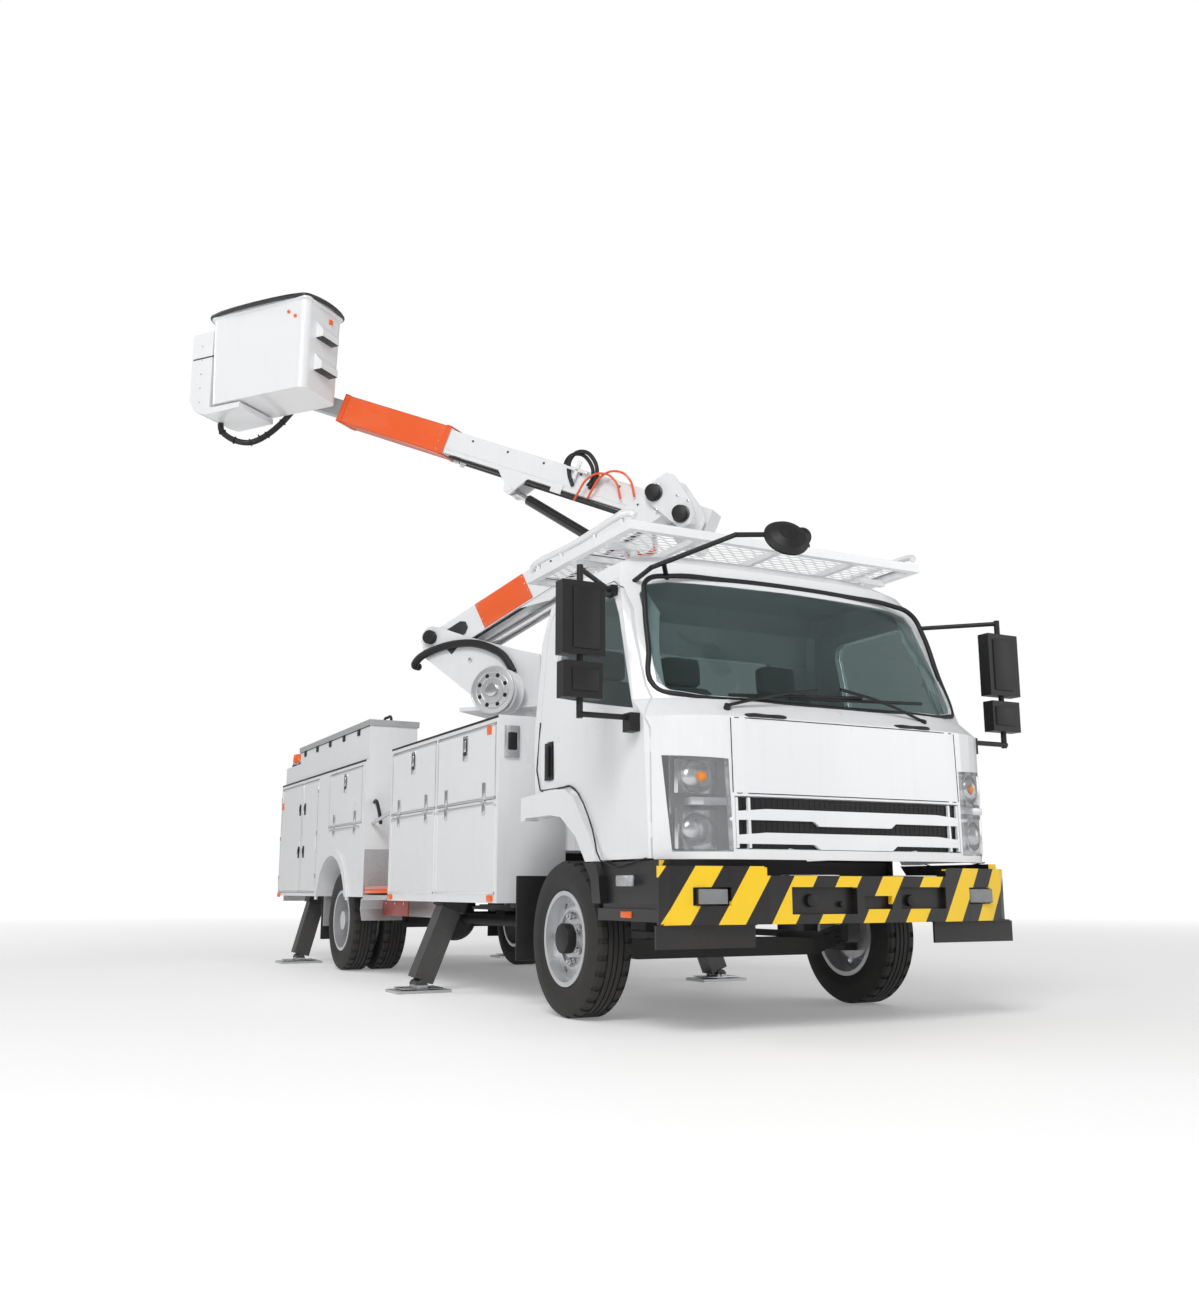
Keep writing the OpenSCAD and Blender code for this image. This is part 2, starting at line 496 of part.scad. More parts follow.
// A mirror set on a door: tubular arm, main mirror and wide-angle mirror
module mirror_set(s) place() color([0.1, 0.1, 0.1]) side(s) {
  box([cab_half + seat_gap, -850, 1330], [cab_half + 50, -775, 1415]);
  box([cab_half - 56.5, -535, 2040], [cab_half - 20, -465, 2090]);
  xcyl([-812, 1395], 13, cab_half + 40, cab_half + 295);
  zcyl(cab_half + 285, -806, 15, 1378, 2084);
  bar([cab_half + 285, -806, 2068], [cab_half - 34, -500, 2066], 12);
  difference() {
    box([cab_half + 175, -845, 1660], [cab_half + mirror_reach, -770, 2000]);
    box([cab_half + 188, -772, 1673], [cab_half + mirror_reach - 13, -769, 1987]);
  }
  box([cab_half + 185, -840, 1465], [cab_half + mirror_reach - 8, -770, 1630]);
}
module under_view_mirror() place() color([0.1, 0.1, 0.1]) {
  difference() {
    union() {
      for (q = [[[-cab_half + 135, -545, 2112], [-cab_half + 150, -700, 2150]], [[-cab_half + 150, -700, 2150], [-560, -1000, 2275]],
        [[-560, -1000, 2275], [-330, -1085, 2285]], [[-cab_half + 320, -565, 2132], [-cab_half + 200, -735, 2172]]]) bar(q[0], q[1], 12);
      for (q = [[-cab_half + 150, -700, 2150], [-560, -1000, 2275]]) translate(q) sphere(r = 12.6, $fn = 24);
    }
    cab_solid(-seat_gap, -seat_gap);
  }
  translate([-330, -1085, 2262]) rotate([60, 0, -15]) rotate_extrude($fn = 48) polygon([[0, 0], [110, 0], [112, 10], [90, 32], [50, 48], [0, 54]]);
}
rack_z = roof_z + 70;
module roof_rack() place() color("white") {
  w = cab_half - 100;
  // perimeter, with its raised rim
  for (x = [-w, w]) box([x - 22, -620, rack_z], [x + 22, 620, rack_z + 45]);
  for (y = [-620, 0, 576]) box([-w, y, rack_z], [w, y + 44, rack_z + 45]);
  for (x = [-500, 0, 500]) box([x - 15, -600, rack_z], [x + 15, 600, rack_z + 30]);
  // floor sheet
  box([-w + 10, -610, rack_z + 30], [w - 10, 610, rack_z + 36]);
  // posts on the roof
  for (x = [-w + 160, w - 160]) for (y = [-330, 40]) zcyl(x, y, 20, roof_z + seat_gap, rack_z + 2);
  both() box([w - 190, -365, roof_z + seat_gap], [w - 135, 62, roof_z + 10]);
  both() box([w - 186, -352, rack_z - 20], [w, -308, rack_z + 10]);
  both() box([w - 186, 18, rack_z - 20], [w, 62, rack_z + 10]);
}
module front_bumper() place() color([0.09, 0.09, 0.09]) {
  out = [[0, -1138], [300, -1136], [510, -1128], [700, -1098], [860, -1062], [960, -1035], [1004, -1010]];
  inn = [[1004, -994], [940, -994], [860, -1000], [700, -1018], [510, -1040], [300, -1046], [0, -1048]];
  rt = concat(out, inn);
  difference() {
    both() {
      translate([0, 0, 476]) linear_extrude(210) polygon(rt);
      translate([0, 0, 476]) linear_extrude(251) intersection() { polygon(rt); translate([530, -1300]) square([600, 500]); }
      translate([0, 0, 476]) linear_extrude(246) intersection() { polygon(rt); translate([518, -1300]) square([600, 500]); }
    }
    // fog lamp pockets and the three recesses
    both() box([690, -1300, 556], [862, -1075 + 20, 636]);
    box([-391, -1300, 517], [-31, -1100, 637]);
    box([13, -1300, 537], [175, -1100, 597]);
    box([229, -1300, 537], [512, -1100, 637]);
  }
  // fog lamps
  both() box([700, -1085, 562], [852, -1054, 630]);
  // under plates
  both() box([520, -1030, 374], [1030, -1018, 474]);
  both() box([520, -1045, 470], [1000, -1010, 480]);
  // valances under the doors
  both() {
    yz(cab_half - 62, cab_half - 14, valance);
    intersection() {
      yz(cab_half - 62, cab_half + 22, flare_out);
      box([0, -600, 500], [cab_half + 30, -300, 752]);
    }
    box([cab_half - 90, -960, 541], [cab_half - 20, -450, 565]);
  }
  // side steps
  both() box([cab_half - 90, -992, 486], [cab_half - 2, -430, 541]);
  both() box([cab_half - 90, -1004, 486], [cab_half - 62, -990, 541]);
  // stays to the frame
  both() box([rail_x - 66, -1050, rail_z0 + 8 + seat_gap], [rail_x - 8 - seat_gap, -835, rail_z0 + 100]);
  both() box([rail_x - 60, -990, 490], [cab_half - 80, -960, 530]);
  both() box([rail_x - 60, -990, 490], [rail_x - 20, -865, 600]);
}

// ---------- body ----------
door_gap = 5;
fd_z0 = 1130;
fd_z1 = locker_z1 - 42;
fmid = front_y0 + front_len * 0.517;
fd = [[front_y0 + 36, fmid - 17], [fmid + 17, front_y1 - 36]];
rd_drop = [rear_y0 + 82, rear_y0 + 1010];
arch_r = tyre_r + 55;
arch_z = tyre_r + 65;
rd_side = [[wheelbase + arch_r + 80, rear_y1 - 840], [rear_y1 - 810, rear_y1 - 36]];
rd_z0 = locker_z0 + 50;
module leg_slot(i) both() leg_frame(outrigger_y[i], foot_x[i], i == 0 ? front_lean : rear_lean)
  box([-leg_w / 2 - 26, -leg_w / 2 - 26, -100], [leg_w / 2 + 26, leg_w / 2 + 26, 1300]);
module front_lockers() place() color("white") difference() {
  both() difference() {
    box([locker_in, front_y0, locker_z0], [body_half, front_y1, locker_z1]);
    box([locker_in + locker_t, front_y0 + locker_t, locker_z0 + locker_t], [body_half - locker_t - 4, fmid - 12, locker_z1 - locker_t]);
    box([locker_in + locker_t, fmid + 12, locker_z0 + locker_t], [body_half - locker_t - 4, front_y1 - locker_t, locker_z1 - locker_t]);
    for (d = fd) {
      box([body_half - locker_t - 5, d[0] + 14, fd_z0 + 14], [body_half + 1, d[1] - 14, fd_z1 - 14]);
      box([body_half - locker_t, d[0] - door_gap, fd_z0 - door_gap], [body_half + 1, d[1] + door_gap, fd_z1 + door_gap]);
    }
  }
  intersection() {
    leg_slot(0);
    both() box([locker_in - 50, front_y0, 0], [body_half - locker_t - 40, front_y1, locker_z1 - 100]);
  }
  both() sleeve_arm(outrigger_y[0], foot_x[0], front_lean, 2);
}
tier_in = locker_in + 25;
tier_out = body_half - 25;
tier_y1 = rear_y1 - 560;
tier_top = locker_z1 + tier_h - 20;
module rear_lockers() place() color("white") difference() {
  both() difference() {
    union() {
      box([locker_in, rear_y0, locker_z0 + 20], [body_half, rear_y1, locker_z1 - 14]);
      // wheel arch rim
      intersection() {
        xcyl([wheelbase, arch_z], arch_r + 65, body_half - 5, body_half + 16);
        box([body_half - 5, wheelbase - 700, locker_z0 + 20], [body_half + 16, wheelbase + 700, 1200]);
      }
      // upper tier
      box([tier_in, rear_y0 + 10, locker_z1 - 15], [tier_out, tier_y1, tier_top]);
      box([tier_in, tier_y1 - 10, locker_z1 - 15], [tier_out, rear_y1 - 30, tier_top - 130]);
    }
    difference() {
      union() {
        box([locker_in + locker_t, rear_y0 + locker_t, locker_z0 + 40], [body_half - locker_t - 4, rd_side[0][0] - 16, locker_z1 - 34]);
        box([locker_in + locker_t, rd_side[0][0] + 4, locker_z0 + 40], [body_half - locker_t - 4, rear_y1 - locker_t, locker_z1 - 34]);
      }
      xcyl([wheelbase, arch_z], arch_r + 16, locker_in - 1, body_half + 1);
    }
    xcyl([wheelbase, arch_z], arch_r, locker_in - 10, body_half + 30);
    box([locker_in - 10, wheelbase - arch_r, 0], [body_half + 30, wheelbase + arch_r, arch_z]);
    box([tier_in + locker_t, rear_y0 + 30, locker_z1 + 5], [tier_out - locker_t, tier_y1 - locker_t, locker_z1 + tier_h]);
    box([body_half - locker_t - 5, rd_drop[0] + 14, fd_z0 + 4], [body_half + 1, rd_drop[1] - 14, fd_z1 - 24]);
    box([body_half - locker_t, rd_drop[0] - door_gap, fd_z0 - 10 - door_gap], [body_half + 1, rd_drop[1] + door_gap, fd_z1 - 10 + door_gap]);
    for (d = rd_side) {
      box([body_half - locker_t - 5, d[0] + 14, rd_z0 + 14], [body_half + 1, d[1] - 14, fd_z1 - 24]);
      box([body_half - locker_t, d[0] - door_gap, rd_z0 - door_gap], [body_half + 1, d[1] + door_gap, fd_z1 - 10 + door_gap]);
    }
  }
  intersection() {
    leg_slot(1);
    both() box([locker_in - 50, rear_y0, 0], [body_half - locker_t - 40, rear_y1, locker_z1 - 200]);
  }
  both() sleeve_arm(outrigger_y[1], foot_x[1], rear_lean, 2);
}
module flap(s, y, z) place() color("whitesmoke") side(s) {
  difference() {
    box([body_half - locker_t + 0.5, y[0], z[0]], [body_half - 0.5, y[1], z[1]]);
    // latch pocket
    if (z[0] > 1000) box([body_half - 8, (y[0] + y[1]) / 2 - 32, z[1] - 140], [body_half + 1, (y[0] + y[1]) / 2 + 32, z[1] - 30]);
    else box([body_half - 8, y[0] + 30, 950], [body_half + 1, y[0] + 70, 1060]);
  }
}
module front_flap(s, i) flap(s, fd[i], [fd_z0, fd_z1]);
module drop_flap(s) flap(s, rd_drop, [fd_z0 - 10, fd_z1 - 10]);
module side_flap(s, i) flap(s, rd_side[i], [rd_z0, fd_z1 - 10]);
module tier_lid(s) place() color("lightgray") side(s) difference() {
  box([tier_in - 12, rear_y0 - 2, tier_top - 30], [tier_out + 12, tier_y1 + 12, tier_top + 14]);
  box([tier_in - 5, rear_y0 + 5, tier_top - 31], [tier_out + 5, tier_y1 + 5, tier_top + 0.3]);
}
// Four holes of the towing plate
tow_x = 85.7;
tow_h = 44.45;
tow_r = 8.5;
tow_z = locker_z0 + 43;
module deck() place() color("lightgray") {
  // floor between the lockers
  box([-locker_in + 0.5, front_y0, deck_z - 12], [locker_in - 0.5, rear_y1, deck_z]);
  // turret pedestal
  translate([0, turret_y, deck_z - 1]) cylinder(r = 300, h = 190);
  // tread plates below the gap, with the steps
  both() box([locker_in - 40, front_y1 + 2, locker_z0 + 15], [body_half - 8, front_y1 + turret_gap - 2, locker_z0 + 35]);
  both() box([locker_in - 40, front_y1 + 2, locker_z0 + 30], [locker_in - 2, front_y1 + turret_gap - 2, deck_z - 11]);
  both() box([locker_in + 10, rear_y0 - 8, locker_z0 + 34], [body_half - 6, rear_y0 - 0.5, 920]);
  both() yz(body_half - 320, body_half - 10, [[front_y1 + 60, locker_z0 + 16], [rear_y0 - 20, locker_z0 + 16], [rear_y0 + 50, locker_z0 + 6],
    [rear_y0 + 66, locker_z0 - 70], [rear_y0 + 20, locker_z0 - 150], [rear_y0 + 10, locker_z0 - 148], [rear_y0 + 54, locker_z0 - 68],
    [rear_y0 + 40, locker_z0 - 4], [front_y1 + 60, locker_z0 + 4]]);
  // red stay plates under the gap
  both() box([body_half - 330, front_y1 - 200, locker_z0 - 120], [body_half - 318, rear_y0 + 20, locker_z0 - 4]);
  both() box([rail_x - 2, front_y1 + 200, locker_z0 - 60], [body_half - 318, front_y1 + 260, locker_z0 - 10]);
  // grab bars across the gap
  both() intersection() {
    bar([body_half - 60, front_y1 - 20, 1192], [body_half - 60, rear_y0 + 20, 1108], 13);
    box([0, front_y1 + seat_gap, 1000], [body_half, rear_y0 - seat_gap, 1300]);
  }
  // rear bumper, lamps and mudflaps
  difference() {
    box([-body_half + 60, rear_y1 + seat_gap, locker_z0 - 30], [body_half - 60, rear_y1 + 20, locker_z0 + 120]);
    for (x = [-1, 1]) for (z = [-1, 1]) ycyl(x * tow_x / 2, tow_z + z * tow_h / 2, tow_r, rear_y1 - 5, rear_y1 + 30);
  }
  both() box([rail_x - 70, rear_y1 - 47.5, locker_z0 + 10], [rail_x, rear_y1 + 1, locker_z0 + 110]);
  box([-locker_in + 1, rear_y1 - 20, deck_z - 1], [locker_in - 1, rear_y1, deck_z + 420]);
  both() box([locker_in + 30, wheelbase + arch_r + 30, 330], [body_half - 70, wheelbase + arch_r + 38, locker_z0 + 20 - seat_gap]);
}

// ---------- boom ----------
module turret() place() slewed() color("white") difference() {
  union() {
    translate([0, 0, deck_z + 189 + seat_gap]) cylinder(r = 290, h = 52);
    translate([0, 0, deck_z + 240]) cylinder(r = 215, h = pivot_z - 605 - deck_z - 240 + 5);
    box([-262, -380, pivot_z - 605], [240, 330, pivot_z - 575]);
    for (x = [-247, -17]) {
      yz(x, x + 22, [[pivot_s + 90, pivot_z - 5], [pivot_s + 62, pivot_z - 150], [pivot_s - 370, pivot_z - 478],
        [pivot_s - 450, pivot_z - 580], [-350, pivot_z - 580], [-350, pivot_z - 210], [-182, pivot_z - 165],
        [pivot_s - 330, pivot_z - 20], [pivot_s - 60, pivot_z + 82]]);
      xcyl(pivot, 92, x, x + 22);
    }
    // crossing webs
    box([-246, -340, pivot_z - 576], [-16, -310, pivot_z - 240]);
    // lower cylinder's pin
    xcyl(lower_base_p, 24.5, -246, 4);
    // capstan winch
    xcyl([-85, pivot_z - 499], 70, -340, -246);
    xcyl([-85, pivot_z - 499], 110, -452, -330);
    xcyl([-85, pivot_z - 499], 180, -345, -330);
    xcyl([-85, pivot_z - 499], 186, -470, -448);
    xcyl([-85, pivot_z - 499], 48, -486, -468);
    // pivot pin with its cap
    xcyl(pivot, 29.5, -262, 20);
    xcyl(pivot, 44, -272, -246);
    xcyl(pivot, 44, 4, 18);
  }
  for (i = [0 : 5]) translate([-470, -85, pivot_z - 499]) rotate([60 * i, 0, 0]) translate([0, 128, 0]) rotate([0, 90, 0]) cylinder(r = 14, h = 60, center = true, $fn = 24);
}
hose_x = -247 - 30 * cos(18) - seat_gap;
module turret_hoses() place() slewed() color([0.07, 0.07, 0.07]) hose(route([[hose_x, -140, pivot_z - 330], [hose_x, -40, pivot_z - 190],
  [hose_x, 160, pivot_z - 95], [hose_x, 360, pivot_z - 75], [hose_x, 540, pivot_z - 100], [hose_x, 680, pivot_z - 150], [hose_x + 10, 745, pivot_z - 210],
  [-200, 750, pivot_z - 215]], 5), 30, 10);
// A hollow box along Y with closed ends
module boom_box(x, y0, y1, zc, w, h, t) difference() {
  box([x - w / 2, y0, zc - h / 2], [x + w / 2, y1, zc + h / 2]);
  box([x - w / 2 + t, y0 + t, zc - h / 2 + t], [x + w / 2 - t, y1 - t, zc + h / 2 - t]);
}
module lower_boom() place() lower_frame() color("white") difference() {
  union() {
    difference() {
      boom_box(near_x, -lower_len - 70, 110, -box_drop, boom_w, box_h, boom_t);
      yz(near_x - 200, near_x + 200, [[20, -box_drop - 200], [200, -box_drop - 200], [200, 20]]);
    }
    // pivot boss
    xcyl([0, 0], 62, near_x - boom_w / 2, near_x + boom_w / 2);
    // end pin with its caps
    xcyl([-lower_len, 0], 30, -268, 4);
    for (x = [-270, -1]) xcyl([-lower_len, 0], 46, x, x + 22);
    // elbow plates
    for (x = [-247, -24]) yz(x, x + 22, [[-lower_len + 70, 60], [-lower_len + 80, -20], [elbow[0] + 60, elbow[1] - 80], [elbow[0] - 20, elbow[1] - 95],
      [elbow[0] - 90, elbow[1] - 40], [elbow[0] - 110, elbow[1] + 60], [-lower_len - 190, 40], [-lower_len - 150, 90], [-lower_len, 85]]);
    for (x = [-225.5, -24]) box([x, -lower_len - 60, -50], [x + 11, -lower_len + 60, 20]);
    // cross tube of the elbow and its shaft
    xcyl([elbow[0] - 40, elbow[1] + 160], 30, -226, -20);
    xcyl(elbow, 29.5, -262, 232);
    xcyl(elbow, 46, -270, -246);
    // bracket of the upper cylinder, on the far side
    difference() {
      union() {
        for (x = [64, 168]) yz(x, x + 18, [[upper_base[0] - 90, upper_base[1] + 50], [upper_base[0] + 90, upper_base[1] + 50],
          [upper_base[0] + 60, upper_base[1] - 55], [upper_base[0] - 60, upper_base[1] - 55]]);
        box([near_x + boom_w / 2 - 2, upper_base[0] - 96, upper_base[1] - 50], [186, upper_base[0] - 79, upper_base[1] + 50]);
      }
    }
    xcyl(upper_base, 24.5, 58, 192);
    // lugs of the lower cylinder's eye
    for (x = [near_x - 62, near_x + 44]) yz(x, x + 18, [[lower_eye[0] - 110, -box_drop - box_h / 2 + 2], [lower_eye[0] + 110, -box_drop - box_h / 2 + 2],
      [lower_eye[0] + 45, lower_eye[1] - 40], [lower_eye[0] - 45, lower_eye[1] - 40]]);
    for (x = [near_x - 70, near_x + 61]) xcyl(lower_eye, 30, x, x + 9);
    // gusset lug
    for (x = [near_x - 88, near_x + 70]) yz(x, x + 18, [[-1160, -box_drop - box_h / 2 + 2], [-720, -box_drop - box_h / 2 + 2], [-860, -box_drop - box_h / 2 - 40],
      [-1010, -box_drop - box_h / 2 - 88], [-1075, -box_drop - box_h / 2 - 80]]);
  }
  xcyl([0, 0], 30, near_x - 200, near_x + 200);
}
module upper_boom() place() upper_frame() color("white") difference() {
  union() {
    boom_box(far_x, -95, upper_len, tip_z, boom_w, up_h, boom_t);
    xcyl([0, 0], 95, far_x - boom_w / 2, far_x + boom_w / 2);
    yz(far_x - boom_w / 2, far_x + boom_w / 2, [[-95, -50], [-95, -170], [-40, -200], [70, -180], [260, -50]]);
    // clevis of the upper cylinder
    for (x = [far_x - boom_w / 2, far_x + boom_w / 2 - 20]) {
      yz(x, x + 20, [[upper_eye[0] - 140, tip_z - up_h / 2 + 1], [upper_eye[0] + 160, tip_z - up_h / 2 + 1],
        [upper_eye[0] + 40, upper_eye[1] + 12], [upper_eye[0] - 50, upper_eye[1] - 5]]);
      xcyl(upper_eye, 48, x, x + 20);
    }
    for (x = [far_x - boom_w / 2 - 7, far_x + boom_w / 2 - 1]) xcyl(upper_eye, 28, x, x + 8);
    // small lugs and the guard tube
    for (x = [far_x - 60, far_x + 44]) yz(x, x + 16, [[2230, tip_z - up_h / 2 + 1], [2310, tip_z - up_h / 2 + 1], [2285, tip_z - up_h / 2 - 52], [2255, tip_z - up_h / 2 - 52]]);
    // end collar under the sleeve
    difference() {
      box([far_x - boom_w / 2 - 14, upper_len - 1190, tip_z - up_h / 2 - 14], [far_x + boom_w / 2 + 14, upper_len + 12, tip_z + up_h / 2 + 14]);
      box([far_x - boom_w / 2 + 2, upper_len - 1200, tip_z - up_h / 2 + 2], [far_x + boom_w / 2 - 2, upper_len + 20, tip_z + up_h / 2 - 2]);
    }
  }
  xcyl([0, 0], 30, far_x - 200, far_x + 200);
  box([far_x - inner_w / 2 - slide_gap, 600, tip_z - inner_w / 2 - slide_gap], [far_x + inner_w / 2 + slide_gap, upper_len + 30, tip_z + inner_w / 2 + slide_gap]);
}
inner_w = 146;
module inner_boom() place() upper_frame() color("whitesmoke") difference() {
  union() {
    boom_box(far_x, upper_len - 2300, tip_len - 90, tip_z, inner_w, inner_w, 10);
    for (x = [far_x - 50, far_x + 30]) yz(x, x + 20, [[tip_len - 95, tip_z - 55], [tip_len - 20, tip_z - 36], [tip_len + 20, tip_z - 30], [tip_len + 38, tip_z],
      [tip_len + 20, tip_z + 30], [tip_len - 20, tip_z + 36], [tip_len - 95, tip_z + 55]]);
    // wear pads
    difference() {
      box([far_x - boom_w / 2 + boom_t + slide_gap, upper_len - 2290, tip_z - up_h / 2 + boom_t + slide_gap],
        [far_x + boom_w / 2 - boom_t - slide_gap, upper_len - 2190, tip_z + up_h / 2 - boom_t - slide_gap]);
      box([far_x - inner_w / 2 + 5, upper_len - 2300, tip_z - inner_w / 2 + 5], [far_x + inner_w / 2 - 5, upper_len - 2180, tip_z + inner_w / 2 - 5]);
    }
  }
  xcyl([tip_len, tip_z], 20, far_x - 100, far_x + 100);
}
// Levelling bracket: an eye on the tip's pin, and an upright post for the bucket
module bucket_bracket() place() slewed() color("lightgray") {
  difference() {
    union() {
      xcyl(tip_p, 42, far_x - 28, far_x + 28);
      box([far_x - 28, tip_p[0] + 10, tip_p[1] - 40], [far_x + 28, tip_p[0] + 78, tip_p[1] + 40]);
    }
  }
  xcyl(tip_p, 19.5, far_x - 56, far_x + 56);
  box([-60, tip_p[0] + 72, tip_p[1] - 40], [far_x + 28, tip_p[0] + 92, tip_p[1] + 40]);
  zcyl(post_x, post_y, 38, tip_p[1] - 115, tip_p[1] + 115);
  box([post_x, post_y + 4, tip_p[1] - 40], [-55, post_y + 56, tip_p[1] + 40]);
}
post_x = -180;
// J-shaped mount round the rear end and underside of the bucket
module bucket_mount() place() slewed() color("white") {
  x0 = bucket_x1 - bucket_w + 20;
  x1 = bucket_x1 - 10;
  y0 = bucket_y1 + 14;
  difference() {
    yz(x0, x1, [[y0, bucket_z0 + 700], [y0, bucket_z0 - 14], [y0 - 330, bucket_z0 - 14], [y0 - 330, bucket_z0 - 62], [y0 + 60, bucket_z0 - 70],
      [y0 + 170, bucket_z0 - 20], [y0 + 230, bucket_z0 + 90], [y0 + 230, bucket_z0 + 700]]);
    yz(x0 + 10, x1 - 10, [[y0 + 12, bucket_z0 + 640], [y0 + 12, bucket_z0 + 10], [y0 + 150, bucket_z0 + 10], [y0 + 215, bucket_z0 + 100], [y0 + 215, bucket_z0 + 640]]);
    box([post_x - 70, post_y - 60, tip_p[1] - 60], [x1 + 1, y0 + 240, tip_p[1] + 60]);
  }
  // bearings round the post
  for (z = [tip_p[1] - 110, tip_p[1] + 64]) difference() {
    box([post_x - 60, y0 + 1, z], [x1 - 1, y0 + 229, z + 46]);
    zcyl(post_x, post_y, 38.09, z - 1, z + 50);
  }
  // pads under the bucket
  for (x = [x0 + 60, x1 - 120]) for (y = [y0 - 300, y0 - 90]) box([x, y, bucket_z0 - 15], [x + 60, y + 60, bucket_z0 - 0.3]);
}
// Bucket: a tapered open tub with rounded corners, a lip and two step boxes
module tub(d, z0, z1, g) hull() {
  for (i = [0, 1]) let (o = i * 26 - d, z = i == 0 ? z0 : z1)
    for (x = [bucket_x1 - bucket_w - o + 70, bucket_x1 + (i * 8) - d * -1 - 70 - 2 * d])
      for (y = [bucket_y1 - bucket_l - o + 70, bucket_y1 + i * 8 + d * -1 - 70])
        translate([x, y, z]) cylinder(r = 70, h = g, $fn = 32);
}
module bucket() place() slewed() color("white") {
  difference() {
    union() {
      tub(0, bucket_z0, bucket_z0 + bucket_h, 1);
      // lip
      tub(-16, bucket_z0 + bucket_h - 40, bucket_z0 + bucket_h - 20, 26);
      // step boxes on the end
      for (z = [190, 480]) yz(bucket_x1 - bucket_w / 2 - 110, bucket_x1 - bucket_w / 2 + 110,
        [[bucket_y1 - bucket_l + 8, bucket_z0 + z], [bucket_y1 - bucket_l - 90, bucket_z0 + z], [bucket_y1 - bucket_l - 90, bucket_z0 + z + 60],
         [bucket_y1 - bucket_l - 14, bucket_z0 + z + 150], [bucket_y1 - bucket_l + 8, bucket_z0 + z + 150]]);
    }
    tub(bucket_t, bucket_z0 + bucket_t, bucket_z0 + bucket_h + 2, 30);
  }
}
module bucket_hose() place() slewed() color([0.07, 0.07, 0.07]) hose(route([[-72, 2230, 4800], [-85, 2330, 4700], [-150, 2440, 4575],
  [-220, 2560, 4500], [-290, 2680, 4515], [-338, 2780, 4590], [-345, 2800, 4669.6]], 6), 26, 10);
// A cylinder along +Z from its base pin, with its eye bored about X
module barrel(l, r, pin, w, bore) difference() {
  union() {
    cylinder(r = r, h = l);
    rotate([90, 0, 90]) cylinder(r = pin + 18, h = w, center = true);
  }
  rotate([90, 0, 90]) cylinder(r = pin, h = w + 2 * r, center = true);
  translate([0, 0, pin + 30]) cylinder(r = bore, h = l);
}
// Its rod, with the eye's own pin of length p
module rod(l0, l1, r, pin, w, p) {
  translate([0, 0, l0]) cylinder(r = r, h = l1 - l0);
  translate([0, 0, l1]) rotate([90, 0, 90]) cylinder(r = pin + 18, h = w, center = true);
  translate([0, 0, l1]) rotate([90, 0, 90]) cylinder(r = pin, h = p, center = true);
}
module cyl_frame(x, p, a) slewed() translate([x, p[0], p[1]]) rotate([a - 90, 0, 0]) children();
module lower_cylinder_barrel() place() cyl_frame(near_x, lower_base_p, lower_cyl_a) color("silver") barrel(lower_cyl_l * 0.55, 48, 25, 80, 28 + slide_gap);
module lower_cylinder_rod() place() cyl_frame(near_x, lower_base_p, lower_cyl_a) color("orangered") rod(160, lower_cyl_l, 28, 25, 76, 78);
module upper_cylinder_barrel() place() cyl_frame(far_x, upper_base_p, upper_cyl_a) color([0.1, 0.1, 0.1]) barrel(upper_cyl_l * 0.86, 42, 25, 60, 25 + slide_gap);
module upper_cylinder_rod() place() cyl_frame(far_x, upper_base_p, upper_cyl_a) color("silver") rod(185, upper_cyl_l, 25, 25, 60, 130);

// ---------- assembly ----------
chassis_frame();
axles();
engine_block();
knuckle(1);  // knuckle_left
knuckle(-1);  // knuckle_right
front_rim(1);  // front_rim_left
front_rim(-1);  // front_rim_right
front_tyre(1);  // front_tyre_left
front_tyre(-1);  // front_tyre_right
rear_rims(1);  // rear_rims_left
rear_rims(-1);  // rear_rims_right
rear_tyres(1);  // rear_tyres_left
rear_tyres(-1);  // rear_tyres_right
front_bumper();
cab_shell();
cab_door(1);  // cab_door_left
cab_door(-1);  // cab_door_right
door_glass(1);  // door_glass_left
door_glass(-1);  // door_glass_right
cab_glass();
seats();
dashboard();
grille();
headlamps();
mirror_set(1);  // mirror_left
mirror_set(-1);  // mirror_right
under_view_mirror();
roof_rack();
front_lockers();
rear_lockers();
deck();
front_flap(1, 0);  // front_locker_door_1_left
front_flap(-1, 0);  // front_locker_door_1_right
front_flap(1, 1);  // front_locker_door_2_left
front_flap(-1, 1);  // front_locker_door_2_right
drop_flap(1);  // rear_drop_door_left
drop_flap(-1);  // rear_drop_door_right
side_flap(1, 0);  // rear_side_door_1_left
side_flap(-1, 0);  // rear_side_door_1_right
side_flap(1, 1);  // rear_side_door_2_left
side_flap(-1, 1);  // rear_side_door_2_right
tier_lid(1);  // tier_lid_left
tier_lid(-1);  // tier_lid_right
turret();
turret_hoses();
lower_boom();
upper_boom();
inner_boom();
bucket_bracket();
bucket_mount();
bucket();
lower_cylinder_barrel();
lower_cylinder_rod();
upper_cylinder_barrel();
upper_cylinder_rod();
outrigger(1, 0);  // outrigger_front_left
outrigger(-1, 0);  // outrigger_front_right
outrigger(1, 1);  // outrigger_rear_left
outrigger(-1, 1);  // outrigger_rear_right
bucket_hose();
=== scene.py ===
# %% [markdown]
# A cherry picker truck, finished in small steps. The moving frame (chassis, cab, lockers,
# turret, booms, bucket) comes from the CAD model. This lesson adds the finishes and the
# small fittings, each one modelled where it sits and tied to the body that carries it.

# %% Load the frame
import bpy, bmesh, math
from mathutils import Vector, Matrix


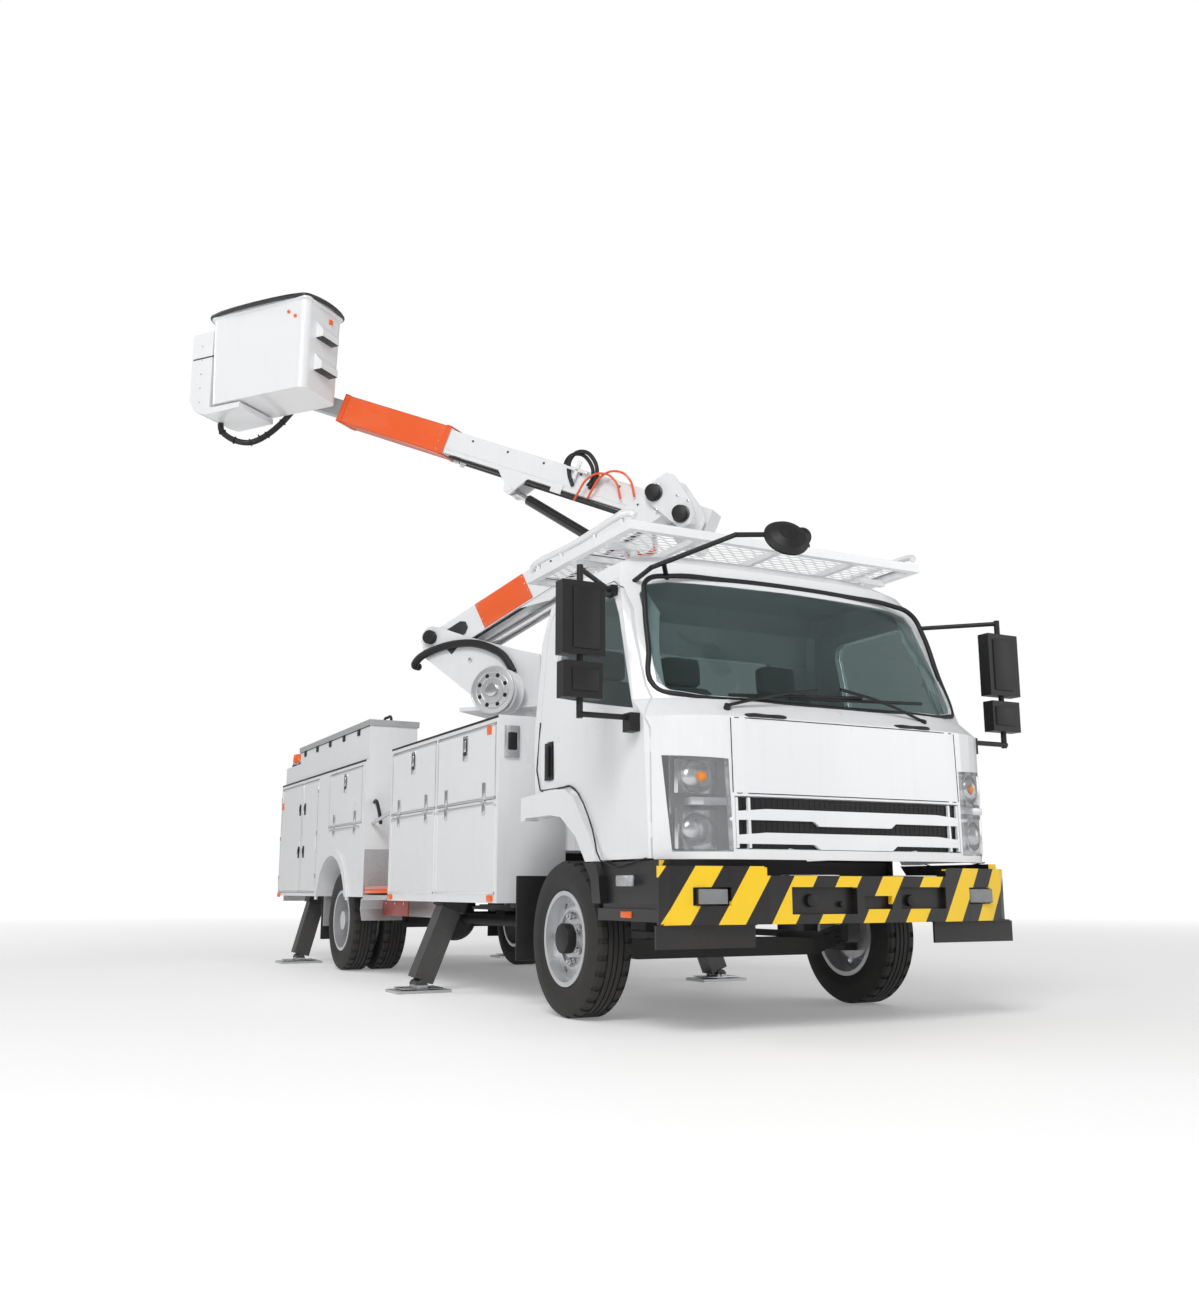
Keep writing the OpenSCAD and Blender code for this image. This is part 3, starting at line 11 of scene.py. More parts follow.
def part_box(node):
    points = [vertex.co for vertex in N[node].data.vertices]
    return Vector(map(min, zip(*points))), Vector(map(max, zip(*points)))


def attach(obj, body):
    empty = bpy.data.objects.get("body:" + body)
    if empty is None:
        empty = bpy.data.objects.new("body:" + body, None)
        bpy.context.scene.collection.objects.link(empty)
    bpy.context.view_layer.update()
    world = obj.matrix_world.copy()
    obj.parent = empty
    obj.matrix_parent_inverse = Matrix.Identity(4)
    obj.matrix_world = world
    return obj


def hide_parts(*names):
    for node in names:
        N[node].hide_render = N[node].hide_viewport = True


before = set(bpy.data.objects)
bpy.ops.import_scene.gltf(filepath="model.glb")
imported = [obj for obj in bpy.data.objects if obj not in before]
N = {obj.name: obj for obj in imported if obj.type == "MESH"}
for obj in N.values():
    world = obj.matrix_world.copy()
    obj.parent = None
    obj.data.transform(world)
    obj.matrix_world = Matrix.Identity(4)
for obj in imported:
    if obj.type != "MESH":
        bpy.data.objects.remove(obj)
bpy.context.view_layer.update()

# %% [markdown]
# The camera stands low beside the truck's front corner and looks slightly up at the boom.
# From so low, with the lens tilted up, the upright edges lean together a little.

# %% Camera
bpy.ops.object.select_all(action="DESELECT")
EYE = (-3.207, -8.046, 0.626)
UP_TILT, HEADING = math.radians(100.92), math.radians(-27.32)
bpy.ops.object.camera_add(location=EYE, rotation=(UP_TILT, 0, HEADING))
camera = bpy.context.object
camera.data.lens = 33.215
camera.data.sensor_width = 36
camera.data.clip_end = 400
bpy.context.scene.camera = camera
print("camera at", EYE, "lens", round(camera.data.lens, 2), "mm")

# %% [markdown]
# Every measure below is in metres in the truck's own frame: x across (left is plus), y
# along it from the front axle, z up from the ground. The helpers turn such measures into
# the shared frame, and do the same for the turned frames of the turret and both booms.

# %% Places on the truck
OX, OY = 0.457049, -2.440
SLEW, LOW, UP = math.radians(38), math.radians(25.9), math.radians(23.7)
PIVOT, ELBOW = (0.611, 2.565), (-1.49283, 3.29642)
TRUCK = Matrix.Translation((OX, OY, 0))
TURN = TRUCK @ Matrix.Translation((0, 2.927, 0)) @ Matrix.Rotation(SLEW, 4, "Z")
LOWER = TURN @ Matrix.Translation((0, PIVOT[0], PIVOT[1])) @ Matrix.Rotation(-LOW, 4, "X")
UPPER = TURN @ Matrix.Translation((0, ELBOW[0], ELBOW[1])) @ Matrix.Rotation(UP, 4, "X")
made = {}

# %% [markdown]
# Three plain shapes make most fittings: a block, a round bar and a bent tube. Each starts
# as a primitive at its size, gets its edges broken by a bevel as on a real pressing, and
# is then fixed in place so that its object sits at the origin.

# %% Helpers for fittings
def settle(obj, name, where, mat, body, soft=30, bevel=0.0, seg=2):
    obj.name = name
    obj.data.name = name
    if bevel > 0:
        m = obj.modifiers.new("edges", "BEVEL")
        m.width, m.segments, m.limit_method, m.angle_limit = bevel, seg, "ANGLE", math.radians(40)
        bpy.ops.object.modifier_apply(modifier="edges")
    bpy.context.view_layer.update()
    obj.matrix_world = where @ obj.matrix_world
    bpy.ops.object.transform_apply(location=True, rotation=True, scale=True)
    bpy.ops.object.shade_smooth_by_angle(angle=math.radians(soft))
    obj.data.materials.clear()
    obj.data.materials.append(mat)
    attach(obj, body)
    made[name] = obj
    return obj

def block(name, lo, hi, mat, body, where=TRUCK, bevel=0.004, turn=None):
    bpy.ops.object.select_all(action="DESELECT")
    mid = [(a + b) / 2 for a, b in zip(lo, hi)]
    bpy.ops.mesh.primitive_cube_add(size=1, location=mid)
    obj = bpy.context.object
    obj.scale = [abs(b - a) for a, b in zip(lo, hi)]
    if turn:
        obj.rotation_euler = turn
    bpy.ops.object.transform_apply(location=False, rotation=False, scale=True)
    return settle(obj, name, where, mat, body, bevel=bevel)

def bar(name, a, b, r, mat, body, where=TRUCK, verts=20, bevel=0.002, r2=None):
    bpy.ops.object.select_all(action="DESELECT")
    a, b = Vector(a), Vector(b)
    v = b - a
    turn = v.to_track_quat("Z", "Y").to_euler()
    if r2 is None:
        bpy.ops.mesh.primitive_cylinder_add(vertices=verts, radius=r, depth=v.length, location=(a + b) / 2,
            rotation=turn)
    else:
        bpy.ops.mesh.primitive_cone_add(vertices=verts, radius1=r, radius2=r2, depth=v.length,
            location=(a + b) / 2, rotation=turn)
    return settle(bpy.context.object, name, where, mat, body, bevel=bevel, soft=35)

def tube(name, pts, r, mat, body, where=TRUCK, res=6, closed=False):
    bpy.ops.object.select_all(action="DESELECT")
    bpy.ops.curve.primitive_bezier_curve_add()
    obj = bpy.context.object
    sp = obj.data.splines[0]
    sp.bezier_points.add(len(pts) - 2)
    for p, q in zip(sp.bezier_points, pts):
        p.co = q
        p.handle_left_type = p.handle_right_type = "AUTO"
    sp.use_cyclic_u = closed
    obj.data.bevel_depth, obj.data.bevel_resolution, sp.resolution_u = r, 4, res
    obj.data.use_fill_caps = True
    bpy.ops.object.convert(target="MESH")
    return settle(bpy.context.object, name, where, mat, body, soft=50)

def plate(name, outline, axis, a, b, mat, body, where=TRUCK, bevel=0.003):
    # A flat outline drawn out between a and b along an axis
    bpy.ops.object.select_all(action="DESELECT")
    bpy.ops.mesh.primitive_circle_add(vertices=len(outline), radius=1, fill_type="NGON")
    obj = bpy.context.object
    for v, (p, q) in zip(obj.data.vertices, outline):
        v.co = {"x": (a, p, q), "y": (p, a, q), "z": (p, q, a)}[axis]
    d = b - a
    bpy.ops.object.mode_set(mode="EDIT")
    bpy.ops.mesh.select_all(action="SELECT")
    bpy.ops.mesh.extrude_region_move(TRANSFORM_OT_translate={"value": {"x": (d, 0, 0), "y": (0, d, 0),
        "z": (0, 0, d)}[axis]})
    bpy.ops.mesh.select_all(action="SELECT")
    bpy.ops.mesh.normals_make_consistent(inside=False)
    bpy.ops.object.mode_set(mode="OBJECT")
    return settle(obj, name, where, mat, body, bevel=bevel)

# %% [markdown]
# Finishes are node materials. A small wiring helper keeps them readable: it adds one node,
# sets its values and links whatever other nodes are handed to it. All patterns read Object
# coordinates, which are metres in the shared frame, so a stripe is as wide as it says.

# %% Wiring helper
def node(tree, kind, ins=None, **props):
    n = tree.nodes.new(kind)
    for k, v in props.items():
        setattr(n, k, v)
    for k, v in (ins or {}).items():
        if isinstance(v, bpy.types.NodeSocket):
            tree.links.new(v, n.inputs[k])
        else:
            n.inputs[k].default_value = v
    return n

def maths(tree, op, a, b=0.0, clamp=False):
    return node(tree, "ShaderNodeMath", {0: a, 1: b}, operation=op, use_clamp=clamp).outputs[0]

def mix(tree, fac, a, b, how="MIX"):
    n = node(tree, "ShaderNodeMix", {0: fac, 6: a, 7: b}, data_type="RGBA", blend_type=how)
    return n.outputs[2]

def noise(tree, vec, scale, detail=3.0, rough=0.5):
    return node(tree, "ShaderNodeTexNoise", {"Vector": vec, "Scale": scale, "Detail": detail,
        "Roughness": rough}).outputs["Fac"]

def ramp(tree, fac, a, b, lo=0.0, hi=1.0):
    return node(tree, "ShaderNodeMapRange", {0: fac, 1: a, 2: b, 3: lo, 4: hi}).outputs[0]

def new_group(name, ins, outs):
    g = bpy.data.node_groups.new(name, "ShaderNodeTree")
    for n, k, v in ins:
        s = g.interface.new_socket(name=n, in_out="INPUT", socket_type="NodeSocket" + k)
        s.default_value = v
    for n, k in outs:
        g.interface.new_socket(name=n, in_out="OUTPUT", socket_type="NodeSocket" + k)
    return g, g.nodes.new("NodeGroupInput").outputs, g.nodes.new("NodeGroupOutput").inputs

# %% [markdown]
# Road life is what every outside surface of a truck shares: faint unevenness in the paint,
# dust thrown up near the ground and run down in streaks, and a grain in the finish. One
# group makes all three from position, and each material says how strong they are.

# %% Shared effect: road life
life, I, O = new_group("road_life",
    [("Colour", "Color", (0.8, 0.8, 0.8, 1)), ("Dirt Colour", "Color", (0.24, 0.2, 0.16, 1)),
     ("Dirt", "Float", 0.4), ("Dirt Height", "Float", 0.9), ("Unevenness", "Float", 0.04),
     ("Rough", "Float", 0.35), ("Grain Scale", "Float", 300.0), ("Grain", "Float", 0.2)],
    [("Colour", "Color"), ("Roughness", "Float"), ("Height", "Float"), ("Dust", "Float")])
pos = node(life, "ShaderNodeTexCoord").outputs["Object"]
xyz = node(life, "ShaderNodeSeparateXYZ", {0: pos}).outputs
low = ramp(life, xyz[2], 0.15, I["Dirt Height"], 1.0, 0.0)
patch = noise(life, pos, 3.1, 6.0, 0.62)
streak = noise(life, node(life, "ShaderNodeVectorMath", {0: pos, 1: (14.0, 14.0, 1.1)},
    operation="MULTIPLY").outputs[0], 1.6, 4.0)
spots = ramp(life, noise(life, pos, 42.0, 3.0), 0.56, 0.74)
dust = maths(life, "MULTIPLY", maths(life, "ADD", maths(life, "MULTIPLY", low, patch),
    maths(life, "MULTIPLY", ramp(life, streak, 0.55, 0.8), 0.14)), I["Dirt"])
dust = maths(life, "ADD", dust, maths(life, "MULTIPLY", maths(life, "MULTIPLY", spots, low),
    maths(life, "MULTIPLY", I["Dirt"], 0.35)), clamp=True)
shift = maths(life, "MULTIPLY", maths(life, "SUBTRACT", noise(life, pos, 1.3, 3.0), 0.5), I["Unevenness"])
bright = node(life, "ShaderNodeHueSaturation", {"Value": maths(life, "ADD", shift, 1.0),
    "Color": I["Colour"]}).outputs[0]
life.links.new(mix(life, dust, bright, I["Dirt Colour"]), O["Colour"])
life.links.new(maths(life, "ADD", maths(life, "MULTIPLY", maths(life, "SUBTRACT", patch, 0.5), 0.16),
    maths(life, "ADD", I["Rough"], maths(life, "MULTIPLY", dust, 0.45)), clamp=True), O["Roughness"])
life.links.new(maths(life, "MULTIPLY", noise(life, pos, I["Grain Scale"], 2.0), I["Grain"]), O["Height"])
life.links.new(dust, O["Dust"])
print("group", life.name, "nodes", len(life.nodes))

# %% [markdown]
# Three more groups draw the patterns that only some finishes have: a brushed or rolled
# direction in bare metal, the raised bars of tread plate, and a woven cloth. Each gives a
# height, and a mask where colour follows the pattern.

# %% Shared effects: metal grain, tread plate, weave
brush, I, O = new_group("brushed_grain", [("Along", "Vector", (1.0, 1.0, 40.0)), ("Scale", "Float", 12.0)],
    [("Height", "Float"), ("Mask", "Float")])
pos = node(brush, "ShaderNodeTexCoord").outputs["Object"]
vec = node(brush, "ShaderNodeVectorMath", {0: pos, 1: I["Along"]}, operation="MULTIPLY").outputs[0]
f = noise(brush, vec, I["Scale"], 5.0, 0.7)
brush.links.new(f, O["Height"])
brush.links.new(ramp(brush, f, 0.35, 0.65), O["Mask"])

tread, I, O = new_group("tread_plate", [("Pitch", "Float", 0.034)], [("Height", "Float"), ("Mask", "Float")])
pos = node(tread, "ShaderNodeTexCoord").outputs["Object"]
xyz = node(tread, "ShaderNodeSeparateXYZ", {0: pos}).outputs
u = maths(tread, "DIVIDE", maths(tread, "ADD", xyz[0], maths(tread, "ADD", xyz[1], xyz[2])), I["Pitch"])
v = maths(tread, "DIVIDE", maths(tread, "SUBTRACT", maths(tread, "ADD", xyz[0], xyz[1]), xyz[2]), I["Pitch"])
def lozenge(a, b):
    s = maths(tread, "MULTIPLY", maths(tread, "SUBTRACT", maths(tread, "FRACT", a), 0.5), 1.1)
    t = maths(tread, "MULTIPLY", maths(tread, "SUBTRACT", maths(tread, "FRACT", b), 0.5), 4.6)
    d = maths(tread, "SQRT", maths(tread, "ADD", maths(tread, "MULTIPLY", s, s), maths(tread, "MULTIPLY", t, t)))
    return ramp(tread, d, 0.5, 0.36)
bars = maths(tread, "MAXIMUM", lozenge(u, v), lozenge(maths(tread, "ADD", v, 0.5), maths(tread, "ADD", u, 0.5)))
tread.links.new(bars, O["Height"])
tread.links.new(bars, O["Mask"])

weave, I, O = new_group("cloth_weave", [("Threads", "Float", 520.0)], [("Height", "Float"), ("Mask", "Float")])
pos = node(weave, "ShaderNodeTexCoord").outputs["Object"]
xyz = node(weave, "ShaderNodeSeparateXYZ", {0: pos}).outputs
def wave(a):
    return maths(weave, "SINE", maths(weave, "MULTIPLY", a, maths(weave, "MULTIPLY", I["Threads"], 3.14159)))
w = maths(weave, "MULTIPLY", wave(maths(weave, "ADD", xyz[0], xyz[1])), wave(maths(weave, "ADD", xyz[2], xyz[1])))
h = maths(weave, "ADD", maths(weave, "MULTIPLY", w, 0.5), noise(weave, pos, 160.0, 2.0))
weave.links.new(h, O["Height"])
weave.links.new(ramp(weave, h, 0.0, 1.0), O["Mask"])

# %% [markdown]
# The finishes themselves are one shader each. Paint has a clear coat over a slightly uneven
# colour; moulded plastic has a fine grain and no coat; metals are bare, rolled or cast.

# %% Finish maker
def finish(name, colour, rough=0.4, metal=0.0, coat=0.0, dirt=0.3, high=0.9, uneven=0.05, grain=0.2, scale=300.0,
    bump=0.15,
           dirt_colour=(0.24, 0.2, 0.16, 1), extra=None, **sockets):
    m = bpy.data.materials.new(name)
    m.use_nodes = True
    t = m.node_tree
    s = t.nodes["Principled BSDF"]
    g = node(t, "ShaderNodeGroup", node_tree=life)
    for k, v in {"Colour": (*colour, 1), "Dirt": dirt, "Dirt Height": high, "Unevenness": uneven, "Rough": rough,
                 "Grain": grain, "Grain Scale": scale, "Dirt Colour": dirt_colour}.items():
        g.inputs[k].default_value = v
    s.inputs["Metallic"].default_value = metal
    s.inputs["Coat Weight"].default_value = coat
    s.inputs["Coat Roughness"].default_value = 0.08
    for k, v in sockets.items():
        s.inputs[k.replace("_", " ")].default_value = v
    height = g.outputs["Height"]
    if extra:
        height = extra(t, g, s) or height
    if not s.inputs["Base Color"].is_linked:
        t.links.new(g.outputs["Colour"], s.inputs["Base Color"])
    t.links.new(g.outputs["Roughness"], s.inputs["Roughness"])
    b = node(t, "ShaderNodeBump", {"Strength": bump, "Distance": 0.002, "Height": height})
    t.links.new(b.outputs["Normal"], s.inputs["Normal"])
    m.diffuse_color = (*colour, 1)
    return m

def with_group(group, gain, tint=None, **values):
    def extra(t, g, s):
        p = node(t, "ShaderNodeGroup", node_tree=group)
        for k, v in values.items():
            p.inputs[k].default_value = v
        if tint:
            t.links.new(mix(t, p.outputs["Mask"], g.outputs["Colour"], (*tint, 1)), s.inputs["Base Color"])
        return maths(t, "ADD", maths(t, "MULTIPLY", p.outputs["Height"], gain), g.outputs["Height"])
    return extra

# %% [markdown]
# The bumper wears yellow and black warning stripes. They lean the same way all along it,
# a quarter metre apart, and they stop at the recesses, whose insides are black.

# %% Bumper stripes
def stripes(t, g, s):
    xyz = node(t, "ShaderNodeSeparateXYZ", {0: node(t, "ShaderNodeTexCoord").outputs["Object"]}).outputs
    x = maths(t, "SUBTRACT", xyz[0], OX)
    y = maths(t, "SUBTRACT", xyz[1], OY)
    lean = maths(t, "SUBTRACT", x, maths(t, "MULTIPLY", maths(t, "SUBTRACT", xyz[2], 0.476), 0.6))
    band = maths(t, "LESS_THAN", maths(t, "FRACT", maths(t, "DIVIDE", lean, 0.25)), 0.5)
    x2 = maths(t, "MULTIPLY", x, x)
    face = maths(t, "ADD", -1.137, maths(t, "MULTIPLY", maths(t, "MULTIPLY", x2, x2), 0.125))
    front = maths(t, "LESS_THAN", y, maths(t, "ADD", face, 0.028))
    ends = maths(t, "GREATER_THAN", maths(t, "ABSOLUTE", x), 0.93)
    side_x = maths(t, "ABSOLUTE", x)
    pocket = maths(t, "MULTIPLY", maths(t, "MULTIPLY", maths(t, "GREATER_THAN", side_x, 0.692),
        maths(t, "LESS_THAN", side_x, 0.86)),
                   maths(t, "MULTIPLY", maths(t, "GREATER_THAN", xyz[2], 0.558),
                       maths(t, "LESS_THAN", xyz[2], 0.634)))
    front = maths(t, "MULTIPLY", front, maths(t, "SUBTRACT", 1.0, pocket))
    tall = maths(t, "MULTIPLY", maths(t, "GREATER_THAN", xyz[2], 0.4755), maths(t, "LESS_THAN", y, -0.985))
    where = maths(t, "MULTIPLY", maths(t, "MULTIPLY", band, maths(t, "MAXIMUM", front, ends)), tall)
    t.links.new(mix(t, where, g.outputs["Colour"], (0.93, 0.6, 0.012, 1)), s.inputs["Base Color"])

# %% Silver feet of the outriggers
def silver_foot(t, g, s):
    z = node(t, "ShaderNodeSeparateXYZ", {0: node(t, "ShaderNodeTexCoord").outputs["Object"]}).outputs[2]
    foot = maths(t, "LESS_THAN", z, 0.046)
    t.links.new(mix(t, foot, g.outputs["Colour"], (0.6, 0.61, 0.62, 1)), s.inputs["Base Color"])
    t.links.new(maths(t, "MULTIPLY", foot, 0.9), s.inputs["Metallic"])

# %% Open floor of the rack
def open_floor(t, g, s):
    xyz = node(t, "ShaderNodeSeparateXYZ", {0: node(t, "ShaderNodeTexCoord").outputs["Object"]}).outputs
    x = maths(t, "ABSOLUTE", maths(t, "SUBTRACT", xyz[0], OX))
    y = maths(t, "SUBTRACT", xyz[1], OY)
    flat = maths(t, "MULTIPLY", maths(t, "GREATER_THAN", xyz[2], 2.3885), maths(t, "LESS_THAN", xyz[2], 2.3975))
    inside = maths(t, "MULTIPLY", maths(t, "LESS_THAN", x, 0.866), maths(t, "LESS_THAN", maths(t, "ABSOLUTE", y),
        0.566))
    level = maths(t, "GREATER_THAN", maths(t, "ABSOLUTE", node(t, "ShaderNodeSeparateXYZ",
        {0: node(t, "ShaderNodeNewGeometry").outputs["Normal"]}).outputs[2]), 0.5)
    hole = maths(t, "MULTIPLY", maths(t, "MULTIPLY", flat, inside), level)
    t.links.new(maths(t, "SUBTRACT", 1.0, hole), s.inputs["Alpha"])

# %% Finishes
M = {
    "white": finish("white_paint", (0.82, 0.83, 0.845), 0.3, coat=0.5, dirt=0.34, high=0.95, uneven=0.03,
        grain=0.5, scale=60, bump=0.02),
    "gel": finish("bucket_gelcoat", (0.8, 0.81, 0.82), 0.34, coat=0.4, dirt=0.2, high=0.5, uneven=0.05, grain=0.6,
        scale=40, bump=0.03),
    "rack": finish("rack_paint", (0.84, 0.85, 0.86), 0.34, coat=0.4, dirt=0.3, uneven=0.03, grain=0.5, scale=60,
        bump=0.02, extra=open_floor),
    "leg": finish("outrigger_paint", (0.035, 0.038, 0.042), 0.42, coat=0.2, dirt=0.25, uneven=0.2, grain=0.6,
        scale=90, bump=0.08, extra=silver_foot),
    "dark": finish("dark_paint", (0.02, 0.022, 0.025), 0.42, coat=0.2, dirt=0.4, uneven=0.2, grain=0.6, scale=90,
        bump=0.08),
    "chassis": finish("chassis_paint", (0.012, 0.012, 0.013), 0.5, coat=0.1, dirt=0.55, high=1.3, uneven=0.3,
        grain=0.9, scale=120, bump=0.2, dirt_colour=(0.06, 0.052, 0.045, 1)),
    "cast": finish("cast_iron", (0.06, 0.06, 0.063), 0.6, metal=0.5, dirt=0.5, uneven=0.3, grain=1.0, scale=260,
        bump=0.35, dirt_colour=(0.08, 0.07, 0.06, 1)),
    "plastic": finish("black_plastic", (0.006, 0.006, 0.0065), 0.5, dirt=0.04, uneven=0.15, grain=1.0, scale=900,
        bump=0.12, dirt_colour=(0.1, 0.09, 0.08, 1)),
    "bumper": finish("bumper_paint", (0.006, 0.006, 0.007), 0.4, coat=0.12, dirt=0.12, uneven=0.1, grain=0.6,
        scale=60, bump=0.03, extra=stripes),
    "orange": finish("orange_paint", (0.85, 0.115, 0.018), 0.36, coat=0.4, dirt=0.12, uneven=0.08, grain=0.7,
        scale=70, bump=0.05),
    "orange_cloth": finish("orange_boot", (0.8, 0.1, 0.02), 0.75, dirt=0.2, uneven=0.2, bump=0.5,
        extra=with_group(weave, 0.6)),
    "silver": finish("wheel_silver", (0.62, 0.63, 0.65), 0.34, metal=0.65, coat=0.25, dirt=0.28, high=0.75,
        uneven=0.08, grain=0.5, scale=180, bump=0.04),
    "steel": finish("bright_steel", (0.66, 0.66, 0.67), 0.24, metal=1.0, dirt=0.12, uneven=0.08, bump=0.06,
        extra=with_group(brush, 0.8)),
    "alu": finish("rolled_aluminium", (0.68, 0.69, 0.7), 0.36, metal=0.85, dirt=0.2, uneven=0.1, bump=0.1,
        extra=with_group(brush, 1.0)),
    "boom_grey": finish("boom_grey", (0.5, 0.52, 0.53), 0.4, metal=0.25, coat=0.2, dirt=0.1, uneven=0.06,
        grain=0.6, scale=60, bump=0.04),
    "tread": finish("tread_plate", (0.66, 0.67, 0.68), 0.38, metal=0.8, dirt=0.3, uneven=0.1, bump=0.9,
        extra=with_group(tread, 1.0)),
    "white_tread": finish("painted_tread_plate", (0.8, 0.81, 0.82), 0.36, coat=0.3, dirt=0.3, bump=0.9,
        extra=with_group(tread, 1.0)),
    "cloth": finish("seat_cloth", (0.3, 0.31, 0.32), 0.85, dirt=0.0, uneven=0.2, bump=0.5,
        extra=with_group(weave, 0.7), Sheen_Weight=0.3),
    "trim": finish("cab_trim", (0.12, 0.125, 0.13), 0.55, dirt=0.0, uneven=0.1, grain=1.0, scale=700, bump=0.15),
    "rubber": finish("hose_rubber", (0.01, 0.01, 0.011), 0.5, dirt=0.1, uneven=0.3, bump=0.35, grain=1.0, scale=60,
        dirt_colour=(0.08, 0.07, 0.06, 1)),
    "seal": finish("seal_rubber", (0.004, 0.004, 0.0045), 0.55, dirt=0.05, uneven=0.1, grain=0.8, scale=400,
        bump=0.1),
    "tyre": finish("tyre_rubber", (0.013, 0.013, 0.014), 0.62, dirt=0.5, high=1.0, uneven=0.2, grain=1.0,
        scale=240, bump=0.25, dirt_colour=(0.055, 0.048, 0.04, 1)),
    "tube": finish("black_cylinder", (0.01, 0.01, 0.011), 0.26, coat=0.5, dirt=0.05, uneven=0.1, grain=0.4,
        scale=60, bump=0.03),
    "pink": finish("reflective_step", (0.62, 0.24, 0.19), 0.3, coat=0.4, dirt=0.25, uneven=0.15, bump=0.4,
        extra=with_group(tread, 0.4, Pitch=0.012)),
    "red": finish("red_plate", (0.4, 0.035, 0.015), 0.42, coat=0.2, dirt=0.35, uneven=0.2),
}

def glassy(name, colour, rough=0.03, transmission=1.0, ior=1.45, ribs=0.0, glow=None):
    m = bpy.data.materials.new(name)
    m.use_nodes = True
    t = m.node_tree
    s = t.nodes["Principled BSDF"]
    g = node(t, "ShaderNodeGroup", node_tree=life)
    for k, v in {"Colour": (*colour, 1), "Dirt": 0.05, "Unevenness": 0.04, "Rough": rough, "Grain": 0.3,
        "Grain Scale": 30.0}.items():
        g.inputs[k].default_value = v
    t.links.new(g.outputs["Colour"], s.inputs["Base Color"])
    s.inputs["Transmission Weight"].default_value = transmission
    s.inputs["IOR"].default_value = ior
    s.inputs["Roughness"].default_value = rough
    h = g.outputs["Height"]
    if ribs:
        pos = node(t, "ShaderNodeTexCoord").outputs["Object"]
        w = node(t, "ShaderNodeTexWave", {"Vector": pos, "Scale": ribs, "Distortion": 0.0},
            bands_direction="X").outputs["Fac"]
        w2 = node(t, "ShaderNodeTexWave", {"Vector": pos, "Scale": ribs, "Distortion": 0.0},
            bands_direction="Z").outputs["Fac"]
        h = maths(t, "ADD", w, w2)
    b = node(t, "ShaderNodeBump", {"Strength": 0.35 if ribs else 0.02, "Distance": 0.002, "Height": h})
    t.links.new(b.outputs["Normal"], s.inputs["Normal"])
    if glow:
        s.inputs["Emission Color"].default_value = (*colour, 1)
        s.inputs["Emission Strength"].default_value = glow
    return m

M["glass"] = glassy("window_glass", (0.52, 0.62, 0.61), 0.0, 1.0, 1.3)
M["lens"] = glassy("lamp_lens", (0.9, 0.92, 0.94), 0.02, 0.85, 1.4)
M["amber"] = glassy("amber_lens", (0.95, 0.3, 0.03), 0.1, 0.25, 1.45, ribs=60, glow=0.05)
# the orange lens finish glows faintly: a lamp glow on the lamps, and a painted glow on the bucket buttons and the
# top reflector, which are no lamps
M["orange_lens"] = glassy("orange_lens", (0.95, 0.16, 0.02), 0.12, 0.2, 1.45, ribs=40, glow=0.06)
M["red_lens"] = glassy("red_lens", (0.7, 0.02, 0.01), 0.12, 0.2, 1.45, ribs=60, glow=0.03)
M["clear"] = glassy("ribbed_lens", (0.88, 0.9, 0.92), 0.05, 0.75, 1.4, ribs=50)
print("finishes", len(M))

# %% [markdown]
# The nodes that came with the frame keep their shapes and get these finishes. The table
# names each one; what it leaves out is white painted steel.

# %% Finishes on the frame's nodes
by_node = {
    "chassis_frame": "chassis", "axles": "chassis", "engine_block": "cast", "knuckle_left": "cast",
        "knuckle_right": "cast",
    "front_bumper": "bumper", "under_view_mirror": "plastic", "mirror_left": "plastic", "mirror_right": "plastic",
    "deck": "tread", "tier_lid_left": "alu", "tier_lid_right": "alu", "inner_boom": "boom_grey",
        "bucket_bracket": "steel",
    "cab_glass": "glass", "door_glass_left": "glass", "door_glass_right": "glass", "seats": "cloth",
        "dashboard": "trim",
    "headlamps": "lens", "front_rim_left": "silver", "front_rim_right": "silver", "rear_rims_left": "silver",
        "rear_rims_right": "silver",
    "front_tyre_left": "tyre", "front_tyre_right": "tyre", "rear_tyres_left": "tyre", "rear_tyres_right": "tyre",
    "roof_rack": "rack", "turret_hoses": "rubber", "bucket_hose": "rubber", "lower_cylinder_barrel": "steel",
        "upper_cylinder_rod": "steel",
    "lower_cylinder_rod": "orange_cloth", "upper_cylinder_barrel": "tube", "bucket": "gel", "bucket_mount": "gel",
    "outrigger_front_left": "leg", "outrigger_front_right": "leg", "outrigger_rear_left": "leg",
        "outrigger_rear_right": "leg",
}
for name, obj in N.items():
    obj.data.materials.clear()
    obj.data.materials.append(M[by_node.get(name, "white")])
print("painted", len(N), "nodes,", len(by_node), "of them not white")

# %% [markdown]
# The studio is a pale floor under a pale sky, one large soft light above and ahead, and
# two weaker ones beside it. Soft light shows the curve of white panels without hard shadows.

# %% Floor and light
bpy.ops.object.select_all(action="DESELECT")
bpy.ops.mesh.primitive_plane_add(size=160, location=(0, 0, 0))
floor = bpy.context.object
floor.name = "floor"
fm = bpy.data.materials.new("studio_floor")
fm.use_nodes = True
fs = fm.node_tree.nodes["Principled BSDF"]
fs.inputs["Base Color"].default_value = (0.93, 0.93, 0.93, 1)
fs.inputs["Emission Color"].default_value = (1, 1, 1, 1)
far = node(fm.node_tree, "ShaderNodeVectorMath", {0: node(fm.node_tree, "ShaderNodeTexCoord").outputs["Object"]},
    operation="LENGTH").outputs["Value"]
fm.node_tree.links.new(ramp(fm.node_tree, far, 4.0, 26.0, 0.2, 0.75), fs.inputs["Emission Strength"])
fs.inputs["Roughness"].default_value = 0.55
floor.data.materials.append(fm)
world = bpy.data.worlds.new("studio")
bpy.context.scene.world = world
world.use_nodes = True
sky = world.node_tree.nodes["Background"]
sky.inputs[0].default_value = (1, 1, 1, 1)
seen = node(world.node_tree, "ShaderNodeLightPath").outputs["Is Camera Ray"]
